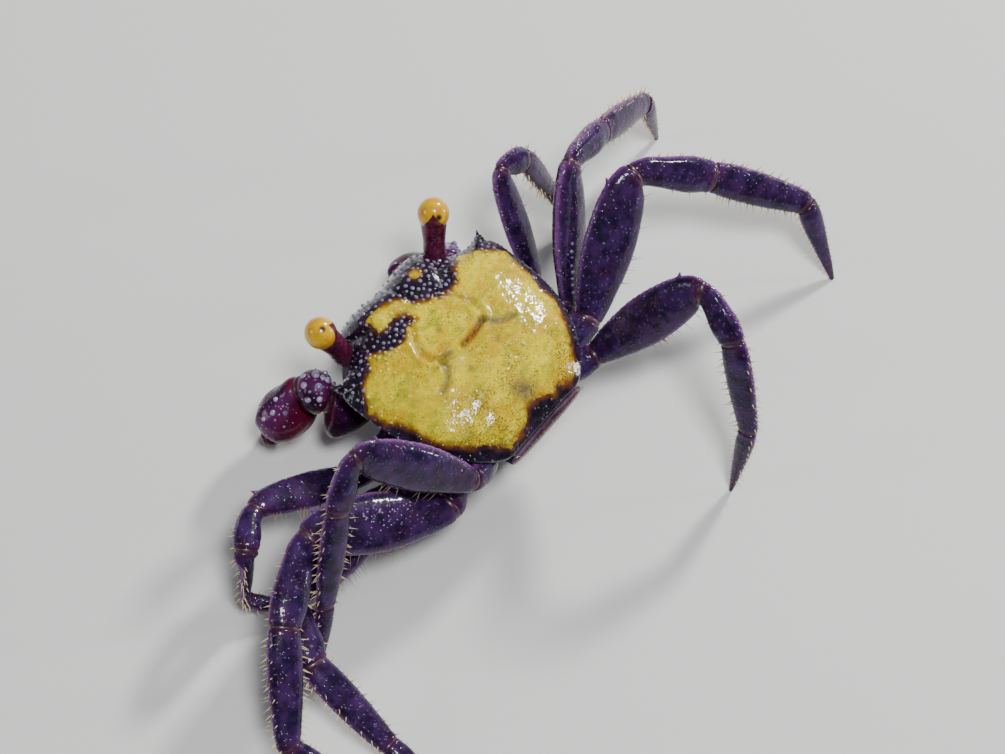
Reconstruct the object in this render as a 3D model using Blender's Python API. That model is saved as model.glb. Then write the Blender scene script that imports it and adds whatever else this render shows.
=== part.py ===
"""A still, life-size vampire crab that stands on its eight walking legs.

Lengths are millimetres until a mesh is made. The crab faces -Y, its left side is at +X,
and the floor is z = 0. Every plate of the shell is a solid of its own, and neighbours keep
a thin gap where the living animal has its joint skin.
"""

import math
import random
from dataclasses import dataclass

import bmesh
import bpy
from mathutils import Matrix, Vector
from mathutils.bvhtree import BVHTree

MM = 0.001
GAP = 0.3
SIDES = {"left": 1, "right": -1}

# Carapace, as heights over its margin plane
MARGIN_HEIGHT = 9.2
CROWN = 1.75
PLATE_EDGE = 0.5
CEILING = -0.95
SHELL_CENTRE = Vector((0.0, -0.2))

# Half outline of the carapace from the middle of the front to the middle of the rear:
# x, y, height over the margin plane, and how steeply the dome falls there
CARAPACE_EDGE = [
    (0.0, -8.25, -1.35, 9.0),
    (2.2, -8.45, -1.25, 9.0),
    (3.7, -8.2, -1.0, 8.0),
    (4.25, -7.6, -0.8, 6.0),
    (4.1, -6.9, -0.65, 6.0),
    (5.2, -5.9, -0.35, 5.0),
    (6.5, -5.3, -0.2, 4.0),
    (7.8, -5.35, -0.1, 3.2),
    (7.75, -4.6, -0.05, 3.2),
    (8.0, -4.1, 0.0, 3.2),
    (8.1, -3.0, 0.0, 3.2),
    (8.0, -0.5, 0.0, 3.2),
    (7.65, 1.8, 0.0, 3.0),
    (6.85, 3.8, -0.2, 3.0),
    (5.6, 5.6, -0.6, 3.0),
    (3.9, 6.95, -1.0, 3.0),
    (2.0, 7.05, -1.1, 3.0),
    (0.0, 7.05, -1.15, 3.0),
]

# Half outline of the body under the carapace, with the height of its upper rim
THORAX_EDGE = [
    (0.0, -7.7, -2.25),
    (2.2, -7.85, -2.2),
    (3.9, -7.6, -1.9),
    (5.2, -6.9, -1.7),
    (6.4, -5.9, -1.5),
    (7.3, -4.7, -1.2),
    (7.6, -2.8, -1.0),
    (7.5, -0.5, -1.0),
    (7.15, 1.8, -1.0),
    (6.3, 3.7, -1.2),
    (5.15, 5.3, -1.6),
    (3.6, 6.4, -2.0),
    (0.0, 6.5, -2.2),
]
# Scale of that outline and height over the floor, from the breastplate upwards
THORAX_LEVELS = [(0.22, 3.1), (0.5, 3.1), (0.63, 3.6), (0.74, 4.9), (0.84, 6.2)]

EYE_RADIUS = 1.13
EYE_CENTRE = Vector((6.05, -8.0, 11.6))
EYE_ROOT = Vector((4.9, -6.95, 7.2))
EYE_CUT = 0.55

COLOURS = {
    "carapace": (0.62, 0.47, 0.06),
    "violet": (0.085, 0.045, 0.15),
    "claw": (0.16, 0.05, 0.17),
    "thorax": (0.10, 0.07, 0.12),
    "eye": (0.85, 0.55, 0.02),
    "stalk": (0.16, 0.02, 0.05),
}


@dataclass(frozen=True)
class LegPair:
    """Sizes that a left and a right leg share. The hip is given for the left side."""

    hip: tuple
    lengths: tuple
    merus_height: float
    shank_height: float


@dataclass(frozen=True)
class LegPose:
    """Yaw of each limb segment from its own side towards the rear, and its pitch, in degrees."""

    yaw: tuple
    pitch: tuple


@dataclass(frozen=True)
class ClawPose:
    """Joints of one claw, all given for the left side of the body."""

    shoulder: tuple
    elbow: tuple
    wrist: tuple
    palm_end: tuple
    tip: tuple
    dorsal: tuple


@dataclass(frozen=True)
class Lump:
    """A spine or grain that is to be set on a solid. A grain has no length."""

    host: str
    root: Vector
    outward: Vector
    radius: float
    length: float = 0.0


# Spines and grains that wait until every solid is there
PLANNED = []

SEGMENTS = ("coxa", "merus", "carpus", "propodus", "dactyl")
TIP_RADIUS = 0.2

LEG_PAIRS = {
    1: LegPair((6.2, -1.3, 4.7), (3.2, 9.5, 3.6, 6.0, 5.3), 2.6, 1.7),
    2: LegPair((6.3, 1.1, 4.6), (3.3, 10.8, 5.1, 7.6, 6.6), 3.7, 2.1),
    3: LegPair((5.9, 3.45, 5.1), (3.2, 11.1, 6.5, 8.1, 7.1), 3.9, 2.3),
    4: LegPair((4.4, 5.4, 6.35), (2.5, 10.8, 4.5, 7.5, 6.8), 3.3, 1.9),
}

LEG_POSES = {
    ("left", 1): LegPose((9, -26, 38, 19, 125), (-14, 16, 12, -76)),
    ("left", 2): LegPose((8, -1, 57, 88, 91), (-3, 7, -7, -26)),
    ("left", 3): LegPose((40, -31, 28, 42, 113), (-3, 20, -7, -26)),
    ("left", 4): LegPose((15, -43, 19, 27, 26), (26, 42, -47, -53)),
    ("right", 1): LegPose((0, -70, 5, 34, 66), (2, 54, -38, -70)),
    ("right", 2): LegPose((12, -42, -6, -5, 25), (4, 51, -27, -36)),
    ("right", 3): LegPose((8, -21, 42, 51, 103), (8, 37, -23, -28)),
    ("right", 4): LegPose((22, 39, 108, 120, 164), (10, 49, -28, -57)),
}

# Half height along a segment, as shares of the segment's own height, at shares of its length
SEGMENT_FORMS = {
    "coxa": [(0.0, 0.50), (0.5, 0.52), (1.0, 0.40)],
    "merus": [(0.0, 0.26), (0.15, 0.36), (0.45, 0.50), (0.75, 0.47), (0.93, 0.36), (1.0, 0.27)],
    "carpus": [(0.0, 0.42), (0.3, 0.46), (0.7, 0.56), (1.0, 0.48)],
    "propodus": [(0.0, 0.48), (0.2, 0.53), (0.5, 0.52), (0.85, 0.42), (1.0, 0.36)],
    "dactyl": [(0.0, 0.36), (0.2, 0.37), (0.6, 0.24), (0.9, 0.14), (1.0, 0.10)],
}
THICKNESS = {"coxa": 0.85, "merus": 0.46, "carpus": 0.66, "propodus": 0.62, "dactyl": 0.75}
STRAIGHT_RINGS = {"coxa": 1, "merus": 4, "carpus": 1, "propodus": 2, "dactyl": 3}
RING_SIDES = {"coxa": 10, "merus": 12, "carpus": 10, "propodus": 8, "dactyl": 8}

CLAW_POSES = {
    "left": ClawPose(
        shoulder=(4.7, -3.9, 4.5),
        elbow=(7.7, -6.1, 6.0),
        wrist=(8.2, -8.5, 6.4),
        palm_end=(10.1, -8.5, 2.8),
        tip=(8.7, -9.9, 0.65),
        dorsal=(0.9, 0.0, 0.42),
    ),
    "right": ClawPose(
        shoulder=(4.7, -3.9, 4.5),
        elbow=(6.8, -6.0, 4.6),
        wrist=(6.0, -7.8, 4.7),
        palm_end=(4.4, -8.9, 2.5),
        tip=(1.9, -9.3, 0.9),
        dorsal=(-0.8, -0.2, 0.5),
    ),
}

# Rows of spines on a leg segment: angle from the dorsal edge, shares of the way at the first
# and the last spine, how many there are, and their length
SPINE_ROWS = {
    "merus": [(0, 0.87, 0.87, 1, 0.55)],
    "carpus": [(0, 0.35, 0.85, 3, 0.55)],
    "propodus": [(0, 0.15, 0.85, 4, 0.7), (180, 0.2, 0.85, 4, 0.7)],
    "dactyl": [(0, 0.14, 0.62, 3, 0.5), (180, 0.14, 0.62, 3, 0.5)],
}
SPINE_RADIUS = 0.24
SPINE_ROOT = 0.3
SPINE_LEAN = 0.6

# Grains on the claw: share of the way, angle from the upper edge, and radius
WRIST_GRAINS = [
    (0.25, -35, 0.27),
    (0.28, 30, 0.3),
    (0.45, 0, 0.33),
    (0.5, 55, 0.28),
    (0.52, -50, 0.3),
    (0.68, 22, 0.32),
    (0.72, -22, 0.28),
]
HAND_GRAINS = [
    (0.16, 25, 0.26),
    (0.2, -25, 0.28),
    (0.27, 0, 0.3),
    (0.33, 40, 0.27),
    (0.34, -38, 0.26),
    (0.41, 12, 0.3),
    (0.47, -16, 0.27),
]
HAND_TEETH = [(0.7, 0, 0.24), (0.78, 0, 0.26), (0.86, 0, 0.2)]
FINGER_TEETH = [(0.3, 180, 0.24), (0.5, 180, 0.26), (0.7, 180, 0.2)]

# Raised regions of the back: x, y, radius and height
BACK_DOMES = [
    (0.0, -2.0, 2.0, 0.2),
    (0.95, -5.9, 0.95, 0.24),
    (-0.95, -5.9, 0.95, 0.24),
    (2.75, -5.6, 0.85, 0.22),
    (-2.75, -5.6, 0.85, 0.22),
    (5.2, -2.2, 1.8, 0.12),
    (-5.2, -2.2, 1.8, 0.12),
    (4.6, 3.4, 2.2, 0.1),
    (-4.6, 3.4, 2.2, 0.1),
]
BACK_TOOTH = (7.45, -5.0, 8.95)
CROSS_FURROW_Y = -0.1
CROSS_FURROW_REACH = 2.4
CROSS_FURROW_DEPTH = 0.2

# Half height, half thickness and share of the outward bulge at each ring of a claw's arm
ARM_SIZES = [
    (1.15, 0.9, 0.0),
    (1.5, 1.4, 0.7),
    (1.75, 2.0, 1.0),
    (1.7, 1.65, 0.7),
    (1.35, 1.05, 0.0),
]
ARM_BULGE = (0.9, 0.2, -0.9)

# Shares of the way from the wrist to the fingertip, with half height, half thickness and the
# shift of the section towards the upper edge
HAND_FORM = [
    (0.0, 0.9, 1.0, 0.0),
    (0.12, 1.35, 1.15, 0.0),
    (0.3, 2.25, 1.8, 0.0),
    (0.45, 2.5, 1.9, 0.0),
    (0.56, 2.05, 1.6, -0.2),
    (0.64, 1.2, 1.15, -0.75),
    (0.78, 0.85, 0.8, -0.8),
    (0.92, 0.5, 0.5, -0.6),
    (1.0, 0.2, 0.2, -0.4),
]
FINGER_FORM = [
    (0.65, 0.7, 0.75, 1.45),
    (0.73, 0.8, 0.75, 1.5),
    (0.84, 0.62, 0.6, 1.3),
    (0.94, 0.38, 0.38, 0.95),
    (1.02, 0.18, 0.18, 0.6),
]


def clear_scene():
    """Removes every object, so that only the crab is left."""
    for thing in list(bpy.data.objects):
        bpy.data.objects.remove(thing)


def shell_material(name, colour, roughness=0.3):
    """Makes a plain glossy shell finish."""
    material = bpy.data.materials.new(name)
    material.use_nodes = True
    shader = material.node_tree.nodes["Principled BSDF"]
    shader.inputs["Base Color"].default_value = (*colour, 1.0)
    shader.inputs["Roughness"].default_value = roughness
    shader.inputs["Metallic"].default_value = 0.0
    return material


def smooth_value(points, t):
    """Reads a smooth curve through (place, value) points at the place t."""
    places = [p[0] for p in points]
    values = [p[1] for p in points]
    t = min(max(t, places[0]), places[-1])
    span = max(i for i in range(len(places) - 1) if places[i] <= t or i == 0)
    width = places[span + 1] - places[span]
    local = (t - places[span]) / width
    before = max(span - 1, 0)
    after = min(span + 2, len(places) - 1)
    slope_in = (values[span + 1] - values[before]) / (places[span + 1] - places[before]) * width
    slope_out = (values[after] - values[span]) / (places[after] - places[span]) * width
    square = local * local
    cube = square * local
    return (
        (2 * cube - 3 * square + 1) * values[span]
        + (cube - 2 * square + local) * slope_in
        + (3 * square - 2 * cube) * values[span + 1]
        + (cube - square) * slope_out
    )


def smooth_outline(half, steps):
    """Runs a smooth closed outline through a half outline and its mirror image."""
    columns = len(half[0])
    path = list(half) + [(-p[0], *p[1:]) for p in reversed(half[1:-1])]
    count = len(path)
    outline = []
    for i in range(count):
        a, b, c, d = (path[(i + k) % count] for k in (-1, 0, 1, 2))
        for step in range(steps):
            s = step / steps
            outline.append(
                tuple(
                    b[k]
                    + 0.5 * s * (c[k] - a[k])
                    + s * s * (a[k] - 2.5 * b[k] + 2 * c[k] - 0.5 * d[k])
                    + s * s * s * (1.5 * (b[k] - c[k]) + 0.5 * (d[k] - a[k]))
                    for k in range(columns)
                )
            )
    return outline


def section(centre, broad, thick, half_broad, half_thick, sides, squareness=2.0):
    """Returns one rounded cross-section as a ring of points."""
    ring = []
    for i in range(sides):
        angle = 2 * math.pi * i / sides
        c = math.cos(angle)
        s = math.sin(angle)
        reach = (abs(c) ** squareness + abs(s) ** squareness) ** (-1 / squareness)
        ring.append(centre + broad * (half_broad * c * reach) + thick * (half_thick * s * reach))
    return ring


def loft(name, rings, material, origin=None):
    """Closes the first ring with a face and extrudes it through all the other rings."""
    origin = origin or Vector((0, 0, 0))
    builder = bmesh.new()
    place = builder.verts.layers.int.new("place")
    first = [builder.verts.new((p - origin) * MM) for p in rings[0]]
    for index, vert in enumerate(first):
        vert[place] = index
    edges = [builder.edges.new((first[i - 1], first[i])) for i in range(len(first))]
    bmesh.ops.contextual_create(builder, geom=edges)
    for ring in rings[1:]:
        grown = bmesh.ops.extrude_edge_only(builder, edges=edges)["geom"]
        edges = [item for item in grown if isinstance(item, bmesh.types.BMEdge)]
        for vert in (item for item in grown if isinstance(item, bmesh.types.BMVert)):
            vert.co = (ring[vert[place]] - origin) * MM
        edges = [edge for edge in edges if len(edge.link_faces) == 1]
    bmesh.ops.contextual_create(builder, geom=edges)
    bmesh.ops.recalc_face_normals(builder, faces=builder.faces)
    mesh = bpy.data.meshes.new(name)
    builder.to_mesh(mesh)
    builder.free()
    mesh.materials.append(material)
    mesh.shade_smooth()
    mesh.set_sharp_from_angle(angle=math.radians(50))
    thing = bpy.data.objects.new(name, mesh)
    thing.location = origin * MM
    bpy.context.collection.objects.link(thing)
    return thing


def frames_along(tangents, plane_normal):
    """Returns the broad and the thick direction of a section at each tangent."""
    frames = []
    for tangent in tangents:
        thick = (plane_normal - tangent * plane_normal.dot(tangent)).normalized()
        frames.append((thick.cross(tangent), thick))
    return frames


def corner(before, joint, after, setback, s):
    """Returns the point and the direction at s on the rounded corner of a joint."""
    start = joint - before * setback
    end = joint + after * setback
    point = start * (1 - s) ** 2 + joint * (2 * s * (1 - s)) + end * s * s
    tangent = (joint - start) * (1 - s) + (end - joint) * s
    return point, tangent.normalized()


def limb_path(joints, index, straight, setbacks, corner_steps=2):
    """Returns the points and directions from the middle of one joint to the middle of the next."""
    directions = [(b - a).normalized() for a, b in zip(joints, joints[1:])]
    start, end = joints[index], joints[index + 1]
    own = directions[index]
    points = []
    if index == 0:
        points.append((start, own))
        first = 0.0
    else:
        first = setbacks[index]
        for step in range(corner_steps):
            s = 0.5 + 0.5 * step / corner_steps
            points.append(corner(directions[index - 1], start, own, first, s))
    last_joint = index == len(directions) - 1
    last = 0.0 if last_joint else setbacks[index + 1]
    run = (end - start).length - first - last
    for step in range(straight + 2):
        if index == 0 and step == 0:
            continue
        points.append((start + own * (first + run * step / (straight + 1)), own))
    if not last_joint:
        for step in range(1, corner_steps + 1):
            s = 0.5 * step / corner_steps
            points.append(corner(own, end, directions[index + 1], last, s))
    return points


def trim_ends(points, start_gap, end_gap):
    """Moves the two end points inwards along the path, to leave room for the joint skin."""
    trimmed = list(points)
    point, tangent = trimmed[0]
    trimmed[0] = (point + tangent * start_gap, tangent)
    point, tangent = trimmed[-1]
    trimmed[-1] = (point - tangent * end_gap, tangent)
    return trimmed


def leg_joints(side, number):
    """Works out the six joints of a walking leg, from the hip to the tip on the floor."""
    pair = LEG_PAIRS[number]
    pose = LEG_POSES[side, number]
    sign = SIDES[side]
    point = Vector((sign * pair.hip[0], pair.hip[1], pair.hip[2]))
    joints = [point]
    pitches = [math.radians(p) for p in pose.pitch]
    for index, length in enumerate(pair.lengths):
        yaw = math.radians(pose.yaw[index])
        if index < len(pitches):
            pitch = pitches[index]
        else:
            pitch = -math.asin(min(1.0, point.z / length))
        flat = length * math.cos(pitch)
        point = point + Vector(
            (sign * flat * math.cos(yaw), flat * math.sin(yaw), length * math.sin(pitch))
        )
        joints.append(point)
    joints[-1].z = 0.0
    return joints


def leg_plane(joints):
    """Returns the normal of the plane in which the knee bends, pointing to the rear."""
    merus = (joints[2] - joints[1]).normalized()
    carpus = (joints[3] - joints[2]).normalized()
    normal = merus.cross(carpus).normalized()
    return normal if normal.y + normal.z > 0 else -normal


def leg_segment(side, number, index, material):
    """Builds one segment of a walking leg."""
    pair = LEG_PAIRS[number]
    part = SEGMENTS[index]
    joints = leg_joints(side, number)
    normal = leg_plane(joints)
    setbacks = [0.0, 0.9, 1.7, 0.9, 0.8]
    points = limb_path(joints, index, STRAIGHT_RINGS[part], setbacks)
    is_tip = part == "dactyl"
    points = trim_ends(points, GAP / 2 if index else 0.0, 0.0 if is_tip else GAP / 2)
    height = pair.merus_height if part == "merus" else pair.shank_height
    if part == "coxa":
        height = pair.shank_height * 1.15
    travelled = [0.0]
    for (a, _), (b, _) in zip(points, points[1:]):
        travelled.append(travelled[-1] + (b - a).length)
    frames = frames_along([tangent for _, tangent in points], normal)
    rings = []
    for (point, _), (broad, thick), way in zip(points, frames, travelled):
        half = height * smooth_value(SEGMENT_FORMS[part], way / travelled[-1])
        thin = max(half * THICKNESS[part], 0.25)
        if part == "merus":
            thin = max(half * THICKNESS[part], pair.shank_height * 0.33)
        rings.append(section(point, broad, thick, half, thin, RING_SIDES[part], 2.2))
    if is_tip:
        across = Vector((1, 0, 0))
        along = Vector((0, 1, 0))
        rings[-1] = flat_foot(points[-1][0], across, along, frames[-1])
    name = f"leg_{side}_{number}_{part}"
    loft(name, rings, material, points[0][0])
    turn = 180 if side == "left" else 0
    for angle, first, last, count, length in SPINE_ROWS.get(part, []):
        for step in range(count):
            share = first + (last - first) * step / max(count - 1, 1)
            share += random.uniform(-0.012, 0.012)
            root, outward, along = surface_place(rings, share, angle + turn)
            lean = (outward + along * SPINE_LEAN).normalized()
            reach = length * random.uniform(0.9, 1.1)
            PLANNED.append(Lump(name, root, lean, SPINE_RADIUS, reach))


def surface_place(rings, share, angle):
    """Returns a point of a lofted surface, the way out of it and the way along it."""
    centres = [sum(ring, Vector()) / len(ring) for ring in rings]
    travelled = [0.0]
    for a, b in zip(centres, centres[1:]):
        travelled.append(travelled[-1] + (b - a).length)
    way = share * travelled[-1]
    index = 0
    while index < len(centres) - 2 and travelled[index + 1] < way:
        index += 1
    s = (way - travelled[index]) / (travelled[index + 1] - travelled[index])
    place = (angle / 360 * len(rings[0])) % len(rings[0])
    low = int(place)
    high = (low + 1) % len(rings[0])
    t = place - low
    near = rings[index][low].lerp(rings[index][high], t)
    far = rings[index + 1][low].lerp(rings[index + 1][high], t)
    point = near.lerp(far, s)
    centre = centres[index].lerp(centres[index + 1], s)
    return point, (point - centre).normalized(), (far - near).normalized()


def lump_object(lump):
    """Makes the helper object of a spine with five sides or of a rounded grain."""
    builder = bmesh.new()
    if lump.length:
        low = lump.root - lump.outward * SPINE_ROOT
        run = lump.length + SPINE_ROOT
        turn = lump.outward.to_track_quat("Z", "Y").to_matrix().to_4x4()
        bmesh.ops.create_cone(
            builder,
            cap_ends=True,
            cap_tris=False,
            segments=5,
            radius1=lump.radius * MM,
            radius2=0.0,
            depth=run * MM,
            matrix=Matrix.Translation((low + lump.outward * run / 2) * MM) @ turn,
        )
        bmesh.ops.remove_doubles(builder, verts=builder.verts, dist=1e-7)
    else:
        middle = lump.root - lump.outward * lump.radius * 0.3
        place = Matrix.Translation(middle * MM)
        radius = lump.radius * MM
        bmesh.ops.create_icosphere(builder, subdivisions=1, radius=radius, matrix=place)
    mesh = bpy.data.meshes.new("helper")
    builder.to_mesh(mesh)
    builder.free()
    thing = bpy.data.objects.new("helper", mesh)
    bpy.context.collection.objects.link(thing)
    return thing


def surface_tree(thing):
    """Returns a search tree of an object's surface in its final place."""
    corners = [thing.matrix_world @ vert.co for vert in thing.data.vertices]
    return BVHTree.FromPolygons(corners, [tuple(face.vertices) for face in thing.data.polygons])


def is_clear(lump, trees):
    """Tells whether a spine or grain keeps the joint gap to every other solid and the floor."""
    reach = lump.length or lump.radius * 0.7
    tests = [(reach, 0.05), (reach * 0.6, lump.radius * 0.4), (0.0, lump.radius)]
    for way, radius in tests:
        point = lump.root + lump.outward * way
        if point.z - radius < 0.1:
            return False
        for name, tree in trees.items():
            if name != lump.host:
                if tree.find_nearest(point * MM, (GAP + radius) * MM)[0] is not None:
                    return False
    return True


def set_lumps():
    """Sets the planned spines and grains on their solids, where no other solid is near."""
    bpy.context.view_layer.update()
    trees = {thing.name: surface_tree(thing) for thing in bpy.data.objects}
    for name in dict.fromkeys(lump.host for lump in PLANNED):
        lumps = [lump for lump in PLANNED if lump.host == name and is_clear(lump, trees)]
        if lumps:
            host = bpy.data.objects[name]
            join_helpers(host, [lump_object(lump) for lump in lumps])
            trees[name] = surface_tree(host)


def join_helpers(host, helpers):
    """Fuses helper objects with the host by one Boolean union and removes them."""
    group = bpy.data.collections.new("helpers")
    bpy.context.scene.collection.children.link(group)
    for helper in helpers:
        group.objects.link(helper)
        bpy.context.collection.objects.unlink(helper)
    bpy.context.view_layer.update()
    plain = host.data
    for solver in ("EXACT", "MANIFOLD"):
        host.data = plain
        union = host.modifiers.new("union", "BOOLEAN")
        union.operation = "UNION"
        union.operand_type = "COLLECTION"
        union.collection = group
        union.solver = solver
        apply_modifiers(host)
        keep_largest(host)
        if is_closed(host):
            break
    for helper in helpers:
        bpy.data.objects.remove(helper)
    bpy.data.collections.remove(group)


def is_closed(thing):
    """Tells whether every edge of the welded mesh has exactly two faces."""
    builder = bmesh.new()
    builder.from_mesh(thing.data)
    bmesh.ops.remove_doubles(builder, verts=builder.verts, dist=2e-7)
    closed = all(len(edge.link_faces) == 2 for edge in builder.edges)
    builder.free()
    return closed


def flat_foot(point, across, along, frame):
    """Returns the small level ring on which the tip of a leg rests."""
    broad, thick = frame
    ring = []
    for i in range(RING_SIDES["dactyl"]):
        angle = 2 * math.pi * i / RING_SIDES["dactyl"]
        reach = broad * math.cos(angle) + thick * math.sin(angle)
        flat = Vector((reach.dot(across), reach.dot(along), 0.0))
        ring.append(Vector((point.x, point.y, 0.0)) + flat.normalized() * TIP_RADIUS)
    return ring


def back_relief(x, y):
    """Returns how far the back rises or sinks at a place seen from above."""
    rise = 0.0
    for dome_x, dome_y, radius, height in BACK_DOMES:
        away = ((x - dome_x) ** 2 + (y - dome_y) ** 2) / radius**2
        rise += height * math.exp(-away)
    outside = max(abs(x) - CROSS_FURROW_REACH, 0.0)
    away = ((y - CROSS_FURROW_Y) ** 2 + outside**2) / 0.45**2
    return rise - CROSS_FURROW_DEPTH * math.exp(-away)


def build_carapace(material):
    """Builds the domed shell plate of the back."""
    edge = smooth_outline(CARAPACE_EDGE, 2)
    levels = [1.0, 0.965, 0.91, 0.84, 0.75, 0.65, 0.54, 0.43, 0.32, 0.21, 0.1]

    def ring(scale, height_at):
        points = []
        for x, y, h, fall in edge:
            flat = SHELL_CENTRE + (Vector((x, y)) - SHELL_CENTRE) * scale
            level = MARGIN_HEIGHT + height_at(h, fall, scale, flat)
            points.append(Vector((flat.x, flat.y, level)))
        return points

    def top(h, fall, scale, flat):
        fade = min(1.0, (1.0 - scale) / 0.09)
        return h + (CROWN - h) * (1 - scale**fall) + back_relief(flat.x, flat.y) * fade

    rings = [
        ring(0.15, lambda h, fall, scale, flat: CEILING),
        ring(0.6, lambda h, fall, scale, flat: CEILING),
        ring(0.94, lambda h, fall, scale, flat: h - PLATE_EDGE),
    ]
    rings += [ring(scale, top) for scale in levels]
    loft("carapace", rings, material)
    for sign in SIDES.values():
        root = mirrored(BACK_TOOTH, sign)
        outward = mirrored((0.6, -0.75, 0.25), sign).normalized()
        PLANNED.append(Lump("carapace", root, outward, 0.34, 0.85))


def build_thorax(material):
    """Builds the body under the carapace, down to the breastplate."""
    edge = smooth_outline(THORAX_EDGE, 1)
    rings = []
    for scale, level in THORAX_LEVELS:
        rings.append([Vector((x * scale, y * scale, level)) for x, y, h in edge])
    rings.append([Vector((x * 0.95, y * 0.95, MARGIN_HEIGHT + h - 0.7)) for x, y, h in edge])
    rings.append([Vector((x, y, MARGIN_HEIGHT + h)) for x, y, h in edge])
    ceiling = MARGIN_HEIGHT + CEILING - 0.45
    rings.append([Vector((x * 0.6, y * 0.6, ceiling)) for x, y, h in edge])
    rings.append([Vector((x * 0.15, y * 0.15, ceiling)) for x, y, h in edge])
    return loft("thorax", rings, material)


def path_directions(points):
    """Returns the direction of a path at each of its points."""
    last = len(points) - 1
    return [(points[min(i + 1, last)] - points[max(i - 1, 0)]).normalized() for i in range(last + 1)]


def path_loft(
    name, stations, plane_normal, sides, material, squareness=2.2, tangents=None, lumps=()
):
    """Lofts through (point, half height, half thickness) stations, and sets grains on it."""
    points = [s[0] for s in stations]
    tangents = tangents or path_directions(points)
    frames = frames_along(tangents, plane_normal)
    rings = [
        section(point, broad, thick, high, thin, sides, squareness)
        for (point, high, thin), (broad, thick) in zip(stations, frames)
    ]
    for share, angle, radius in lumps:
        root, outward, _ = surface_place(rings, share, angle)
        PLANNED.append(Lump(name, root, outward, radius * random.uniform(0.92, 1.08)))
    return loft(name, rings, material, points[0])


def mirrored(vector, sign):
    """Returns the vector for the left side, or its mirror image for the right."""
    return Vector((vector[0] * sign, vector[1], vector[2]))


def build_abdomen(material):
    """Builds the narrow tail flap, folded forward under the body."""
    stations = [
        ((7.25, 7.45), 3.6),
        ((7.15, 6.8), 3.6),
        ((6.5, 5.6), 3.3),
        ((5.7, 4.5), 3.0),
        ((4.8, 3.4), 2.7),
        ((3.6, 2.5), 2.4),
        ((1.4, 2.4), 1.8),
        ((-1.2, 2.4), 0.8),
    ]
    places = range(len(stations))
    rows = {
        "y": [(i, stations[i][0][0]) for i in places],
        "z": [(i, stations[i][0][1]) for i in places],
        "half": [(i, stations[i][1]) for i in places],
    }
    steps = [i / 2 for i in range(2 * len(stations) - 1)]
    path = [Vector((0, smooth_value(rows["y"], t), smooth_value(rows["z"], t))) for t in steps]
    halves = [smooth_value(rows["half"], t) for t in steps]
    across = Vector((1, 0, 0))
    rings = []
    for index, (point, tangent) in enumerate(zip(path, path_directions(path))):
        thin = 0.33 if index % 2 else 0.26
        half = halves[index] * (1.0 if index % 2 else 0.97)
        rings.append(section(point, across, across.cross(tangent), half, thin, 12, 3.0))
    return loft("abdomen", rings, material)


def build_eye(side, stalk_material, eye_material):
    """Builds one eyestalk and the round eye on its end."""
    sign = SIDES[side]
    root = mirrored(EYE_ROOT, sign)
    centre = mirrored(EYE_CENTRE, sign)
    axis = (centre - root).normalized()
    cut = centre - axis * EYE_CUT
    top = cut - axis * GAP
    rim = math.sqrt(EYE_RADIUS**2 - EYE_CUT**2)
    across = axis.orthogonal().normalized()
    around = axis.cross(across)
    run = top - root
    stalk_stations = [(0.0, 0.58), (0.3, 0.72), (0.7, 0.84), (1.0, rim * 0.97)]
    rings = [section(root + run * t, across, around, r, r, 12) for t, r in stalk_stations]
    loft(f"eyestalk_{side}", rings, stalk_material, root)
    rings = []
    first = math.asin(-EYE_CUT / EYE_RADIUS)
    for step in range(7):
        angle = first + (math.radians(82) - first) * step / 6
        level = centre + axis * (EYE_RADIUS * math.sin(angle))
        radius = EYE_RADIUS * math.cos(angle)
        rings.append(section(level, across, around, radius, radius, 14))
    loft(f"eye_{side}", rings, eye_material, centre)


def build_mouthpart(side, material):
    """Builds the outer mouth plate of one side."""
    sign = SIDES[side]
    stations = [
        ((1.25, -4.6, 2.95), 0.95),
        ((1.3, -5.5, 3.8), 1.1),
        ((1.35, -6.5, 5.1), 1.0),
        ((1.3, -7.0, 6.0), 0.65),
    ]
    across = Vector((1, 0, 0))
    path = [mirrored(p, sign) for p, _ in stations]
    rings = [
        section(point, across, across.cross(tangent).normalized(), half, 0.4, 10, 2.6)
        for point, tangent, (_, half) in zip(path, path_directions(path), stations)
    ]
    return loft(f"mouthpart_{side}", rings, material, path[0])


def build_antenna(side, material):
    """Builds one short feeler beside the eye."""
    sign = SIDES[side]
    path = [(2.8, -6.9, 6.3), (2.9, -7.7, 6.1), (3.0, -8.3, 5.9), (3.1, -8.8, 5.65)]
    radii = (0.42, 0.32, 0.26, 0.12)
    stations = [(mirrored(p, sign), r, r) for p, r in zip(path, radii)]
    return path_loft(f"antenna_{side}", stations, Vector((sign, 0, 0.3)), 8, material)


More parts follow.
